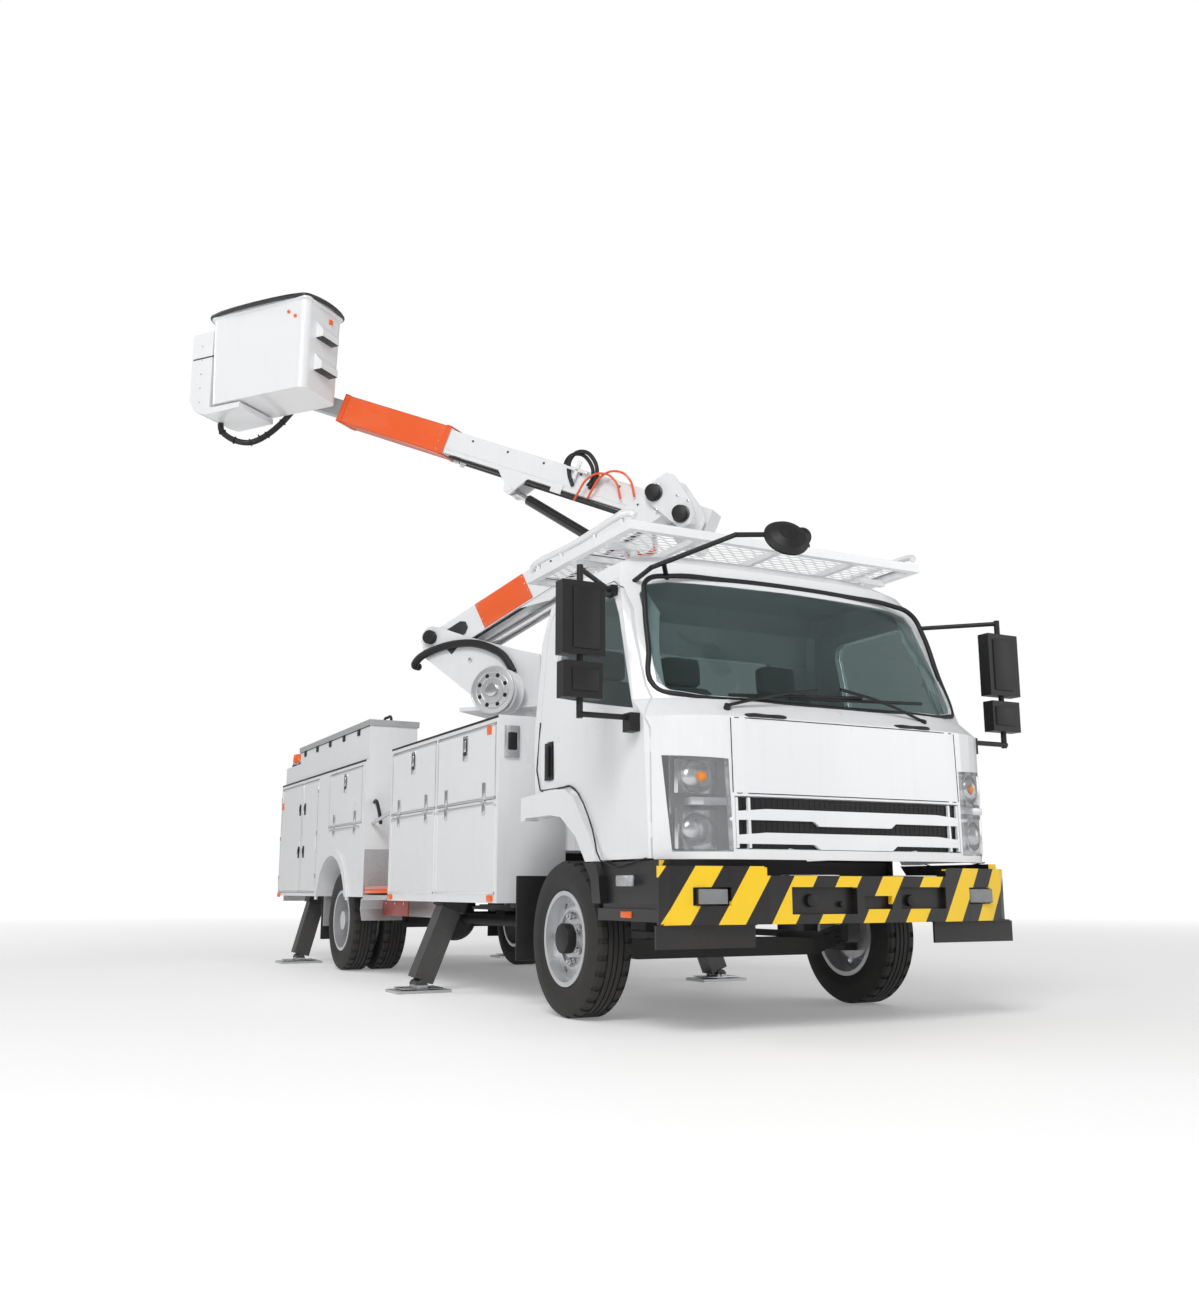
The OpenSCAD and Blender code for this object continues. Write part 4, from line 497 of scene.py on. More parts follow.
world.node_tree.links.new(ramp(world.node_tree, seen, 0.0, 1.0, 0.34, 1.0), sky.inputs[1])
for name, at, size, power, aim in (("key", (-9, -12, 12), 7, 1600, (0, 0, 1.5)),
    ("fill", (10, -10, 5), 7, 260, (0, 0, 1.5)), ("rim", (-10, 9, 11), 7, 420, (0, 1, 2))):
    bpy.ops.object.light_add(type="AREA", location=at)
    lamp = bpy.context.object
    lamp.name = name
    lamp.data.energy, lamp.data.size = power, size
    lamp.rotation_euler = (Vector(aim) - Vector(at)).to_track_quat("-Z", "Y").to_euler()
bpy.context.scene.view_settings.view_transform = "Standard"
print("lights 3")

# %% [markdown]
# Fittings on the two sides of the truck are mirror pairs, so the next helper gives a
# node's corners in truck measures and the loops below run once for each side.

# %% Corners in truck measures
def corners(name):
    lo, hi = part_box(name)
    return (lo.x - OX, lo.y - OY, lo.z), (hi.x - OX, hi.y - OY, hi.z)

def sides():
    return (("left", 1), ("right", -1))

def span(s, a, b):
    return (min(s * a, s * b), max(s * a, s * b))

def box_on(name, s, x0, x1, y0, y1, z0, z1, mat, body, bevel=0.003):
    a, b = span(s, x0, x1)
    return block(name, (a, y0, z0), (b, y1, z1), M[mat], body, bevel=bevel)

# %% [markdown]
# The windscreen sits in a black rubber seal that runs all round the glass, and the glass
# carries a dark band along the top. The seal is one closed tube through the glass corners.

# %% Windscreen seal, wipers and cowl handles
glass = [(0, -0.992, 1.482), (0.45, -0.978, 1.487), (0.8, -0.90, 1.505), (0.905, -0.818, 1.548),
    (0.893, -0.745, 1.75),
         (0.868, -0.668, 2.0), (0.835, -0.628, 2.105), (0.7, -0.628, 2.143), (0.4, -0.624, 2.16)]
ring = glass + [(0, -0.622, 2.168)] + [(-x, y, z) for x, y, z in reversed(glass[1:])]
tube("windscreen_seal", ring, 0.013, M["seal"], "cab", closed=True)
for k, (x0, x1, z1) in enumerate(((-0.651, -0.05, 1.545), (0.506, 1.02, 1.5))):
    p = (x0, -1.035, 1.448)
    bar(f"wiper_pivot_{k}", (x0, -1.02, 1.415), (x0, -1.045, 1.452), 0.016, M["plastic"], "cab")
    end = (-0.12, -1.012, 1.56) if k == 0 else (0.02, -1.012, 1.575)
    tube(f"wiper_arm_{k}", [p, ((p[0] + end[0]) / 2, -1.04, (p[2] + end[2]) / 2 + 0.01), end], 0.0075,
        M["plastic"], "cab")
    a = (-0.62, -1.006, 1.502) if k == 0 else (-0.28, -1.004, 1.512)
    b = (0.16, -0.998, 1.545) if k == 0 else (0.55, -0.985, 1.545)
    bar(f"wiper_blade_{k}", a, b, 0.0085, M["seal"], "cab", verts=8)
for k, x in enumerate((-0.47, 0.39)):
    tube(f"cowl_handle_{k}", [(x - 0.11, -1.062, 1.40), (x - 0.1, -1.088, 1.402), (x, -1.092, 1.402),
        (x + 0.1, -1.088, 1.402), (x + 0.11, -1.062, 1.40)], 0.009, M["plastic"], "cab")
print("windscreen pieces", len(made))

# %% [markdown]
# Behind the white grille bars is a black mesh, and the pressed lines of the hood are shut
# lines a few millimetres wide. Thin dark strips stand for the shadow in those gaps.

# %% Grille mesh and hood lines
glo, ghi = corners("grille")
def front_line(x, depth, node_name="grille", z=0.95):
    # where a level line from the front first meets the node, so a strip lies in its skin
    hit, at, _, _ = N[node_name].ray_cast(Vector((OX + x, -8, z)), Vector((0, 1, 0)))
    return (at.y - OY if hit else -1.06) + depth
xs = [glo[0] + 0.012 + k * (ghi[0] - glo[0] - 0.024) / 16 for k in range(17)]
sheet = [(x, front_line(x, 0.0150)) for x in xs] + [(x, front_line(x, 0.0185)) for x in reversed(xs)]
plate("grille_mesh", sheet, "z", glo[2] + 0.003, ghi[2] - 0.003, M["seal"], "cab", bevel=0)
for k in range(44):
    x = glo[0] + 0.02 + k * (ghi[0] - glo[0] - 0.04) / 43
    y = front_line(x, 0.0130)
    block(f"grille_wire_{k:02d}", (x - 0.0015, y, glo[2] + 0.01), (x + 0.0015, y + 0.003, ghi[2] - 0.01),
        M["plastic"], "cab", bevel=0)
for k in range(9):
    z = glo[2] + 0.02 + k * (ghi[2] - glo[2] - 0.04) / 8
    wire = [(x, front_line(x, 0.0125)) for x in xs] + [(x, front_line(x, 0.0155)) for x in reversed(xs)]
    plate(f"grille_cross_{k}", wire, "z", z - 0.0015, z + 0.0015, M["plastic"], "cab", bevel=0)
# shut lines of the hood, as thin dark strips lying in the skin
for tag, z in (("low", 1.047), ("high", 1.3875)):
    line = [(x, front_line(x, d, "cab_shell", z)) for d, row in ((-0.0012, xs), (0.004, xs[::-1])) for x in row]
    plate(f"hood_line_{tag}", line, "z", z - 0.002, z + 0.002, M["seal"], "cab", bevel=0)
for side, s in sides():
    edge_of_hood = [(s * 0.662, front_line(s * 0.662, 0.001, "cab_shell", 1.05 + 0.042 * k),
        1.05 + 0.042 * k) for k in range(9)]
    tube(f"hood_line_{side}", edge_of_hood, 0.0028, M["seal"], "cab", res=3)
    # door shut line, a thin dark strip round the door
    door = [(-0.898, 0.762), (-0.458, 0.762), (-0.372, 0.914), (-0.214, 1.096), (-0.11, 1.14), (0.235, 1.142),
        (0.238, 1.5)]
    tube(f"door_line_low_{side}", [(s * 1.0, y, z) for y, z in door], 0.0035, M["seal"], "cab", res=3)
print("grille", [round(c, 3) for c in glo], [round(c, 3) for c in ghi])

# %% [markdown]
# Each headlamp is a clear outer lens over three parts: a turn lamp with an amber bulb at
# the top, a silver strip with four slots, and a round reflector below. The parts are built
# behind the lens, so they show through it as the real ones do.

# %% Headlamps, fog lamps and side lamps
for side, s in sides():
    for tag, z0, z1 in (("turn", 1.045, 1.195), ("head", 0.80, 0.975)):
        box_on(f"lamp_{tag}_back_{side}", s, 0.69, 0.905, -0.99, -0.975, z0, z1, "steel", "cab", 0.004)
        bpy.ops.object.select_all(action="DESELECT")
        bpy.ops.mesh.primitive_uv_sphere_add(segments=32, ring_count=16, radius=0.074,
            location=(s * 0.79, -0.985, (z0 + z1) / 2))
        bowl = bpy.context.object
        bowl.scale = (1.15, 0.55, 1.0)
        settle(bowl, f"lamp_{tag}_bowl_{side}", TRUCK, M["steel"], "cab", soft=60)
    bpy.ops.object.select_all(action="DESELECT")
    bpy.ops.mesh.primitive_uv_sphere_add(segments=24, ring_count=12, radius=0.026, location=(s * 0.79, -1.03, 1.12))
    settle(bpy.context.object, f"turn_bulb_{side}", TRUCK, M["amber"], "cab", soft=60)
    box_on(f"lamp_strip_{side}", s, 0.675, 0.855, -1.05, -0.985, 0.992, 1.028, "silver", "cab", 0.006)
    box_on(f"fog_lens_{side}", s, 0.702, 0.85, -1.092, -1.083, 0.564, 0.628, "clear", "chassis", 0.003)
    box_on(f"side_lamp_{side}", s, 1.0, 1.028, -0.786, -0.66, 0.64, 0.69, "clear", "chassis", 0.006)
    box_on(f"side_marker_{side}", s, 0.985, 1.004, -0.76, -0.66, 0.50, 0.53, "orange_lens", "chassis", 0.004)
    # mirror glasses look to the rear
    for tag, z0, z1 in (("main", 1.676, 1.984), ("wide", 1.485, 1.612)):
        box_on(f"mirror_{tag}_{side}", s, 1.192, 1.35, -0.7695, -0.7675, z0, z1, "steel", f"cab_door_{side}", 0.001)
        # a raised rim round the back of each mirror housing
        box_on(f"mirror_{tag}_back_{side}", s, 1.205, 1.338, -0.852 if tag == "main" else -0.846, -0.838,
            z0 + 0.012, z1 - 0.012, "plastic", f"cab_door_{side}", 0.006)
    # door handle in its recess
    box_on(f"door_handle_well_{side}", s, 0.995, 1.0035, 0.085, 0.175, 1.185, 1.38, "seal", f"cab_door_{side}",
        0.002)
    box_on(f"door_handle_{side}", s, 1.0, 1.022, 0.105, 0.14, 1.2, 1.365, "plastic", f"cab_door_{side}", 0.008)
print("lamps and mirrors done,", len(made), "pieces")

# %% [markdown]
# Locker doors are made from sheet with a folded edge. A drop-down door hangs on two silver
# strap hinges along a rail at mid height, and closes with a recessed paddle latch at the
# top. One door is described by its corners, and the loop fits every door on both sides.

# %% Locker door fittings
def latch(name, s, y, z, body, w=0.05, h=0.11, mat="steel"):
    box_on(f"{name}_plate", s, 1.0485, 1.0545, y - w, y + w, z - h, z + h, mat, body, 0.006)
    box_on(f"{name}_cup", s, 1.0540, 1.0555, y - w * 0.72, y + w * 0.72, z - h * 0.6, z + h * 0.75, "seal", body,
        0.001)
    box_on(f"{name}_paddle", s, 1.0545, 1.0610, y - w * 0.5, y + w * 0.5, z - h * 0.3, z + h * 0.62, mat, body,
        0.004)

def edge_frame(name, s, y0, y1, z0, z1, body, mat="alu"):
    for k, (a, b, c, d) in enumerate(((y0, y1, z1 - 0.014, z1), (y0, y1, z0, z0 + 0.014), (y0, y0 + 0.014, z0, z1),
        (y1 - 0.014, y1, z0, z1))):
        box_on(f"{name}_edge_{k}", s, 1.0485, 1.0530, a + 0.002, b - 0.002, c, d, mat, body, 0.0015)

for side, s in sides():
    drops = [(f"front_locker_door_{k}_{side}", a, b) for k, (a, b) in enumerate(((0.726, 1.6863), (1.7203, 2.614)),
        1)] + [(f"rear_drop_door_{side}", 3.35, 4.278)]
    for name, y0, y1 in drops:
        zb, zt = (1.13, 1.558) if "front" in name else (1.12, 1.548)
        edge_frame(name, s, y0, y1, zb, zt, name)
        latch(f"{name}_latch", s, (y0 + y1) / 2, zt - 0.1, name, 0.04, 0.075)
        fixed = "chassis"   # the rail and the lower half of each hinge stay on the body
        box_on(f"{name}_rail", s, 1.0490, 1.0570, y0 + 0.03, y1 - 0.03, zb - 0.034, zb - 0.018, "alu", fixed, 0.003)
        for j, y in enumerate((y0 + 0.17, y1 - 0.17)):
            box_on(f"{name}_strap_{j}", s, 1.0500, 1.0580, y - 0.02, y + 0.02, zb + 0.003, zb + 0.1, "steel", name,
                0.003)
            box_on(f"{name}_strap_foot_{j}", s, 1.0500, 1.0585, y - 0.02, y + 0.02, zb - 0.085, zb - 0.024,
                "steel", fixed, 0.003)
            bar(f"{name}_pin_{j}", (s * 1.058, y - 0.026, zb - 0.008), (s * 1.058, y + 0.026, zb - 0.008), 0.008,
                M["steel"], fixed)
    for k, (y0, y1) in enumerate(((4.64, 5.16), (5.19, 5.964)), 1):
        name = f"rear_side_door_{k}_{side}"
        edge_frame(name, s, y0, y1, 0.602, 1.548, name)
        edge = y1 - 0.07 if k == 1 else y0 + 0.07
        for j, z in enumerate((0.95, 1.32)):
            latch(f"{name}_latch_{j}", s, edge, z, name, 0.022, 0.05, "seal")
        hinge = y0 if k == 1 else y1
        for j, z in enumerate((0.72, 1.08, 1.44)):
            bar(f"{name}_hinge_{j}", (s * 1.052, hinge, z - 0.04), (s * 1.052, hinge, z + 0.04), 0.008, M["steel"],
                "chassis")
    # seams of the lower panels, and the seal under the lid rail
    for k, (y0, y1) in enumerate(((0.726, 1.6863), (1.7203, 2.614))):
        edge_frame(f"lower_panel_{k}_{side}", s, y0, y1, 0.60, 1.10, "chassis", "white")
    box_on(f"front_locker_seal_{side}", s, 1.046, 1.053, 0.70, 2.64, 1.585, 1.599, "seal", "chassis", 0.002)
    box_on(f"rear_locker_seal_{side}", s, 1.046, 1.053, 3.27, 5.99, 1.575, 1.59, "seal", "chassis", 0.002)
    box_on(f"tier_seal_{side}", s, 1.02, 1.029, 3.30, 5.43, 1.845, 1.86, "seal", "chassis", 0.002)
    # clearance lamps low on the lockers
    for k, y, z in ((0, 0.78, 0.577), (1, 2.58, 0.577), (3, 5.93, 0.577)):
        box_on(f"marker_{k}_{side}", s, 1.049, 1.064, y - 0.035, y + 0.035, z - 0.018, z + 0.018, "orange_lens",
            "chassis", 0.005)
    # the reflector wears the faintly glowing orange lens finish, a painted glow
    box_on(f"top_reflector_{side}", s, 1.049, 1.056, 0.8, 0.86, 1.5, 1.555, "orange_lens",
        "front_locker_door_1_" + side, 0.003)
print("locker fittings,", len(made), "pieces so far")

# %% [markdown]
# A truck tyre has straight ribs cut by grooves, with shoulder lugs. One tyre is spun from
# its own section, grooves included, then every other shoulder face is pushed in to leave
# the lugs. It stands for the plain tyre of the frame, and each wheel gets its own copy.

# %% Tyres with tread
TYRE_R, TYRE_W, GROOVE, LUG = 0.385, 0.205, 0.009, 0.007   # radius, width, groove and lug depths
REAR_Y, AXLE_Z = 4.12, 0.385   # the rear axle's place; both axles sit at one height
rlo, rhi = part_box("front_rim_left")
rim_r = (rhi.z - rlo.z) / 2 - 0.0135
def tyre(name, x, y, mat, body):
    w, g, TR = TYRE_W / 2, GROOVE, TYRE_R
    outer = []
    for a, b in ((-0.0725, -0.046), (-0.039, -0.0165), (-0.0095, 0.0095), (0.0165, 0.039), (0.046, 0.0725)):
        outer += [(a, TR - g if a > -0.07 else TR - 0.001), (a, TR - 0.0005), (b, TR - 0.0005),
            (b, TR - g if b < 0.07 else TR - 0.001)]
    section = [(-0.0805, rim_r + 0.0145), (-0.091, rim_r + 0.02), (-w + 0.006, rim_r + 0.035),
        (-w + 0.003, rim_r + 0.05), (-w + 0.001, rim_r + 0.053), (-w, rim_r + 0.08), (-w + 0.001, TR - 0.06),
        (-w + 0.0045, TR - 0.04), (-w + 0.012, TR - 0.012), (-w + 0.02, TR - 0.006)]
    section += [(a, r) for a, r in outer] + [(-a, r) for a, r in reversed(section)]
    bpy.ops.object.select_all(action="DESELECT")
    bpy.ops.mesh.primitive_circle_add(vertices=len(section), radius=1, fill_type="NOTHING", location=(0, 0, 0))
    obj = bpy.context.object
    for v, (a, r) in zip(obj.data.vertices, section):
        v.co = (a, 0, r)
    bpy.ops.object.mode_set(mode="EDIT")
    bpy.ops.mesh.select_all(action="SELECT")
    bpy.ops.mesh.spin(steps=90, dupli=False, angle=math.tau, center=(0, 0, 0), axis=(1, 0, 0))
    bpy.ops.mesh.select_all(action="SELECT")
    bpy.ops.mesh.remove_doubles(threshold=0.0002)
    bpy.ops.mesh.normals_make_consistent(inside=False)
    bpy.ops.mesh.select_mode(type="FACE")
    bpy.ops.mesh.select_all(action="DESELECT")
    bm = bmesh.from_edit_mesh(obj.data)
    for f in bm.faces:
        c = f.calc_center_median()
        r = math.hypot(c.y, c.z)
        turn = int(((math.degrees(math.atan2(c.z, c.y)) + 360) % 360) / 4)
        if r > TR - 0.0125 and abs(c.x) > 0.05 and (turn % 3 == 0) and abs(f.normal.x) < 0.95:
            f.select_set(True)
    bmesh.update_edit_mesh(obj.data)
    bpy.ops.mesh.inset(thickness=0.0015, use_even_offset=True)
    bm = bmesh.from_edit_mesh(obj.data)
    for v in {v for face in bm.faces if face.select for v in face.verts}:
        r = math.hypot(v.co.y, v.co.z)
        v.co.y *= (r - LUG) / r
        v.co.z *= (r - LUG) / r
    bmesh.update_edit_mesh(obj.data)
    bpy.ops.object.mode_set(mode="OBJECT")
    settle(obj, name, TRUCK @ Matrix.Translation((x, y, TR)), mat, body, soft=32)
    return obj

for side, s in sides():
    t = tyre(f"front_tyre_tread_{side}", s * 0.877, 0, M["tyre"], f"front_wheel_{side}")
    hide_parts(f"front_tyre_{side}")
    for k, x in enumerate((0.867, 0.627)):
        t = tyre(f"rear_tyre_tread_{k}_{side}", s * x, REAR_Y, M["tyre"], f"rear_wheels_{side}")
        if k == 0:
            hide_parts(f"rear_tyres_{side}")   # one node holds both tyres of a pair
print("tyres 6, rim radius", round(rim_r, 4))

# %% [markdown]
# Six nuts hold each wheel, and the front hub ends in a black cap. A nut is a short six-sided
# bar with its corners broken.

# %% Wheel nuts and hub caps
for side, s in sides():
    for k in range(6):
        a = math.radians(60 * k)
        y, z = 0.111 * math.sin(a), 0.111 * math.cos(a)
        bar(f"front_nut_{side}_{k}", (s * 0.915, y, AXLE_Z + z), (s * 0.942, y, AXLE_Z + z), 0.02, M["steel"],
            f"front_wheel_{side}", verts=6, bevel=0.003)
        bar(f"rear_nut_{side}_{k}", (s * 0.8, REAR_Y + y, AXLE_Z + z), (s * 0.835, REAR_Y + y, AXLE_Z + z), 0.02,
            M["steel"], f"rear_wheels_{side}", verts=6, bevel=0.003)
    bar(f"front_hub_cap_{side}", (s * 0.93, 0, AXLE_Z), (s * 0.985, 0, AXLE_Z), 0.074, M["plastic"],
        f"front_wheel_{side}", verts=40, bevel=0.008)

# %% [markdown]
# Both booms are welded boxes. They carry orange panels with rivets, pin caps with knurled
# edges, bolts on the elbow plates, and the long boom's orange sleeve near its mouth. Each
# is placed in its boom's own frame, so it lies flat on the plate it is fixed to.

# %% Lower boom fittings
lower, upper, turret = "lower_boom", "upper_boom", "turret"
block("lower_orange_panel", (-0.219, -0.90, -0.168), (-0.2145, -0.435, 0.048), M["orange"], lower, LOWER, 0.002)
block("lower_orange_top", (-0.217, -0.90, 0.0495), (-0.023, -0.435, 0.0535), M["orange"], lower, LOWER, 0.002)
block("lower_orange_far", (-0.0255, -0.90, -0.168), (-0.021, -0.435, 0.048), M["orange"], lower, LOWER, 0.002)
for k in range(4):
    for j, y in enumerate((-0.885, -0.45)):
        z = -0.15 + 0.06 * k
        bar(f"lower_rivet_{j}_{k}", (-0.2185, y, z), (-0.2225, y, z), 0.006, M["steel"], lower, LOWER, 8, 0.001)
plate("lower_cover", [(-0.11, -0.05), (-0.07, -0.085), (0.07, -0.085), (0.11, -0.05), (0.11, 0.0), (0.07, 0.028),
    (-0.07, 0.028), (-0.11, 0.0)], "x", -0.221, -0.2145, M["dark"], lower,
    LOWER @ Matrix.Translation((0, 0.40 - 0.62 + 0.02, -0.03)), 0.002)
for x in (-0.2195, -0.0205):
    tag = "near" if x < -0.1 else "far"
    for k in range(5):
        y = -1.15 - 0.2 * k
        bar(f"lower_bolt_{tag}_{k}", (x + 0.006, y, 0.01), (x, y, 0.01), 0.008, M["dark"], lower, LOWER, 10, 0.001)
block("lower_flange", (-0.2205, -2.05, -0.176), (-0.0195, -0.1, -0.170), M["white"], lower, LOWER, 0.002)
for k, (y, z) in enumerate(((-2.107, 0.0), (-2.212, -0.261))):
    bar(f"elbow_cap_near_{k}", (-0.262, y, z), (-0.306, y, z), 0.056, M["plastic"], lower, LOWER, 24, 0.006)
    bar(f"elbow_washer_near_{k}", (-0.246, y, z), (-0.263, y, z), 0.066, M["dark"], lower, LOWER, 28, 0.003)
for k, (y, z) in enumerate(((-2.06, -0.12), (-2.25, -0.12), (-2.16, 0.045), (-2.3, -0.2))):
    bar(f"elbow_bolt_{k}", (-0.246, y, z), (-0.254, y, z), 0.011, M["steel"], lower, LOWER, 6, 0.002)
tube("lower_boom_line", [(-0.2, -0.12, -0.182), (-0.199, -0.7, -0.188), (-0.2, -1.3, -0.188),
    (-0.198, -1.95, -0.184)], 0.0085, M["rubber"], lower, LOWER)

# %% [markdown]
# The upper boom ends in an orange clad sleeve, two bands and rivets, through which the grey
# inner boom slides. Tubes run under it, and hose loops rise beside the elbow in a bracket.

# %% Upper boom fittings
block("orange_sleeve_near", (0.010, 2.42, -0.076), (0.0155, 3.57, 0.166), M["orange"], upper, UPPER, 0.002)
block("orange_sleeve_far", (0.2345, 2.42, -0.076), (0.240, 3.57, 0.166), M["orange"], upper, UPPER, 0.002)
block("orange_sleeve_under", (0.010, 2.42, -0.076), (0.240, 3.57, -0.0695), M["orange"], upper, UPPER, 0.002)
block("orange_sleeve_top", (0.010, 2.42, 0.1595), (0.240, 3.57, 0.166), M["orange"], upper, UPPER, 0.002)
for k, y in enumerate((2.39, 3.535)):
    for j, (a, b) in enumerate((((0.004, -0.082), (0.012, 0.172)), ((0.238, -0.082), (0.246, 0.172)),
        ((0.004, -0.082), (0.246, -0.074)), ((0.004, 0.164), (0.246, 0.172)))):
        block(f"sleeve_band_{k}_{j}", (a[0], y, a[1]), (b[0], y + 0.05, b[1]), M["orange"], upper, UPPER, 0.002)
for k in range(4):
    for j, y in enumerate((2.47, 3.5)):
        bar(f"sleeve_rivet_{j}_{k}", (0.011, y, -0.045 + 0.06 * k), (0.0065, y, -0.045 + 0.06 * k), 0.007,
            M["steel"], upper, UPPER, 8, 0.001)
for k, x in enumerate((0.03, 0.22)):
    d = -1 if k == 0 else 1
    block(f"upper_fold_{k}", (min(x, x + d * 0.004), 0.25, -0.02), (max(x, x + d * 0.004), 2.38, -0.014),
        M["white"], upper, UPPER, 0.001)
    for j in range(6):
        y = 0.35 + 0.36 * j
        bar(f"upper_bolt_{k}_{j}", (x - d * 0.003, y, 0.105), (x + d * 0.006, y, 0.105), 0.009, M["dark"], upper,
            UPPER, 10, 0.001)
block("upper_lug", (0.015, 1.18, -0.095), (0.031, 1.28, -0.02), M["white"], upper, UPPER, 0.004)
for k, (x, z, r) in enumerate(((0.047, -0.075, 0.015), (0.204, -0.073, 0.013))):
    bar(f"upper_tube_{k}", (x, 0.6, z), (x, 2.33, z), r, M["tube"], upper, UPPER, 16, 0.003)
loop = [(0.02, 0.95, 0.02), (-0.03, 0.9, 0.12), (-0.04, 0.98, 0.24), (-0.02, 1.12, 0.27), (0.01, 1.2, 0.2),
    (0.02, 1.18, 0.1), (0.02, 1.1, 0.0)]
tube("upper_hose_loop_0", loop, 0.016, M["rubber"], upper, UPPER)
tube("upper_hose_loop_1", [(x + 0.035, y + 0.05, z * 0.92) for x, y, z in loop], 0.015, M["rubber"], upper, UPPER)
orange_loop = [(0.015, 0.55, 0.06), (-0.03, 0.62, 0.17), (-0.035, 0.75, 0.2), (-0.03, 0.86, 0.13),
    (-0.02, 0.9, 0.0), (0.015, 0.93, -0.06)]
tube("upper_orange_hose_0", orange_loop, 0.009, M["orange"], upper, UPPER)
tube("upper_orange_hose_1", [(x - 0.012, y + 0.1, z - 0.05) for x, y, z in orange_loop], 0.009, M["orange"], upper,
    UPPER)
block("hose_bracket", (-0.012, 1.0, 0.115), (0.031, 1.2, 0.135), M["white"], upper, UPPER, 0.003)
block("hose_bracket_upright", (-0.012, 1.085, 0.05), (0.004, 1.115, 0.2), M["white"], upper, UPPER, 0.003)
block("inner_boot", (0.046, 4.50, -0.034), (0.204, 4.66, 0.124), M["seal"], "inner_boom", UPPER, 0.012)

# %% [markdown]
# Two cheek plates stand on the turret. Each has a knob on the boom's pivot, a bolt and a
# dark diamond patch, and a capstan winch with a drilled face sits beside them.

# %% Turret fittings
for k, x in enumerate((-0.2475, 0.0055)):
    d = -1 if k == 0 else 1
    bar(f"turret_knob_{k}", (x, 0.611, 2.565), (x + d * 0.045, 0.611, 2.565), 0.055, M["plastic"], turret, TURN,
        24, 0.006)
    bar(f"turret_bolt_{k}", (x, 0.25, 2.36), (x + d * 0.012, 0.25, 2.36), 0.018, M["steel"], turret, TURN, 6, 0.003)
    plate(f"turret_patch_{k}", [(0.0, -0.055), (0.055, 0.0), (0.0, 0.055), (-0.055, 0.0)], "x",
        min(x, x + d * 0.003), max(x, x + d * 0.003), M["dark"], turret,
        TURN @ Matrix.Translation((0, 0.42, 2.47)), 0.001)
for k, r in enumerate((0.175, 0.135, 0.095)):
    bpy.ops.object.select_all(action="DESELECT")
    bpy.ops.mesh.primitive_torus_add(major_radius=r, minor_radius=0.006, major_segments=56, minor_segments=8,
        location=(-0.4875, -0.085, 2.066), rotation=(0, math.radians(90), 0))
    settle(bpy.context.object, f"winch_ring_{k}", TURN, M["alu"], turret, soft=60)
bar("winch_face", (-0.484, -0.085, 2.066), (-0.4885, -0.085, 2.066), 0.18, M["alu"], turret, TURN, 64, 0.002)
bar("winch_cap", (-0.488, -0.085, 2.066), (-0.512, -0.085, 2.066), 0.05, M["steel"], turret, TURN, 32, 0.006)
for k in range(8):
    a = math.radians(45 * k + 22)
    c = (-0.085 + 0.115 * math.cos(a), 2.066 + 0.115 * math.sin(a))
    bar(f"winch_hole_{k}", (-0.4875, *c), (-0.4895, *c), 0.016, M["seal"], turret, TURN, 16, 0)
print("boom and turret fittings,", len(made), "pieces so far")

# %% [markdown]
# The bucket is a moulded tub with a dark rubber lip, two step boxes on its end, two orange
# buttons and a panel seam. The cover of its mount has a dark gap between its two halves.

# %% Bucket fittings
bx0, bx1, by0, by1, bz0, bz1 = -0.58, -0.11, 1.725, 2.725, 4.743, 5.543
e = 0.03
lip = [(bx0 - e + 0.05, by0 - e), (bx1 + e - 0.05, by0 - e), (bx1 + e, by0 - e + 0.05), (bx1 + e, by1 + e - 0.05),
    (bx1 + e - 0.05, by1 + e), (bx0 - e + 0.05, by1 + e), (bx0 - e, by1 + e - 0.05), (bx0 - e, by0 - e + 0.05)]
tube("bucket_lip", [(x, y, bz1 + 0.004) for x, y in lip], 0.019, M["dark"], "bucket", TURN, closed=True)
for k, z in enumerate((0.19, 0.48)):
    block(f"step_sole_{k}", (-0.452, by0 - 0.088, bz0 + z - 0.004), (-0.238, by0 + 0.004, bz0 + z - 0.0005),
        M["dark"], "bucket", TURN, 0.001)
# the buttons wear the faintly glowing orange lens finish, a painted glow
for k, y in enumerate((by0 + 0.16, by0 + 0.09)):
    bar(f"bucket_button_{k}", (bx0 - 0.022, y, bz1 - 0.12 - 0.05 * k), (bx0 - 0.036, y, bz1 - 0.12 - 0.05 * k),
        0.014, M["orange_lens"], "bucket", TURN, 20, 0.003)
block("bucket_button_end", (-0.3, by0 - 0.04, bz1 - 0.13), (-0.26, by0 - 0.02, bz1 - 0.09), M["orange_lens"],
    "bucket", TURN, 0.006)
block("mount_gap", (-0.5625, 2.41, 5.2), (-0.5595, 2.955, 5.212), M["seal"], "bucket", TURN, 0.001)
block("mount_end_gap", (-0.555, 2.967, 5.2), (-0.125, 2.9705, 5.212), M["seal"], "bucket", TURN, 0.001)
for k in range(5):
    bar(f"mount_rivet_{k}", (-0.560, 2.86, 4.8 + 0.13 * k), (-0.5645, 2.86, 4.8 + 0.13 * k), 0.008, M["steel"],
        "bucket", TURN, 8, 0.001)
for k in range(6):
    a = [(-0.15, 2.44, 4.575), (-0.22, 2.56, 4.5), (-0.29, 2.68, 4.515), (-0.338, 2.78, 4.59),
        (-0.085, 2.33, 4.70), (-0.18, 2.49, 4.545)][k]
    bpy.ops.object.select_all(action="DESELECT")
    bpy.ops.mesh.primitive_torus_add(major_radius=0.029, minor_radius=0.006, major_segments=24, minor_segments=8,
        location=a, rotation=(math.radians((50, 70, 110, 150, 40, 55)[k]), 0, math.radians(30)))
    settle(bpy.context.object, f"hose_tie_{k}", TURN, M["seal"], "bucket", soft=60)
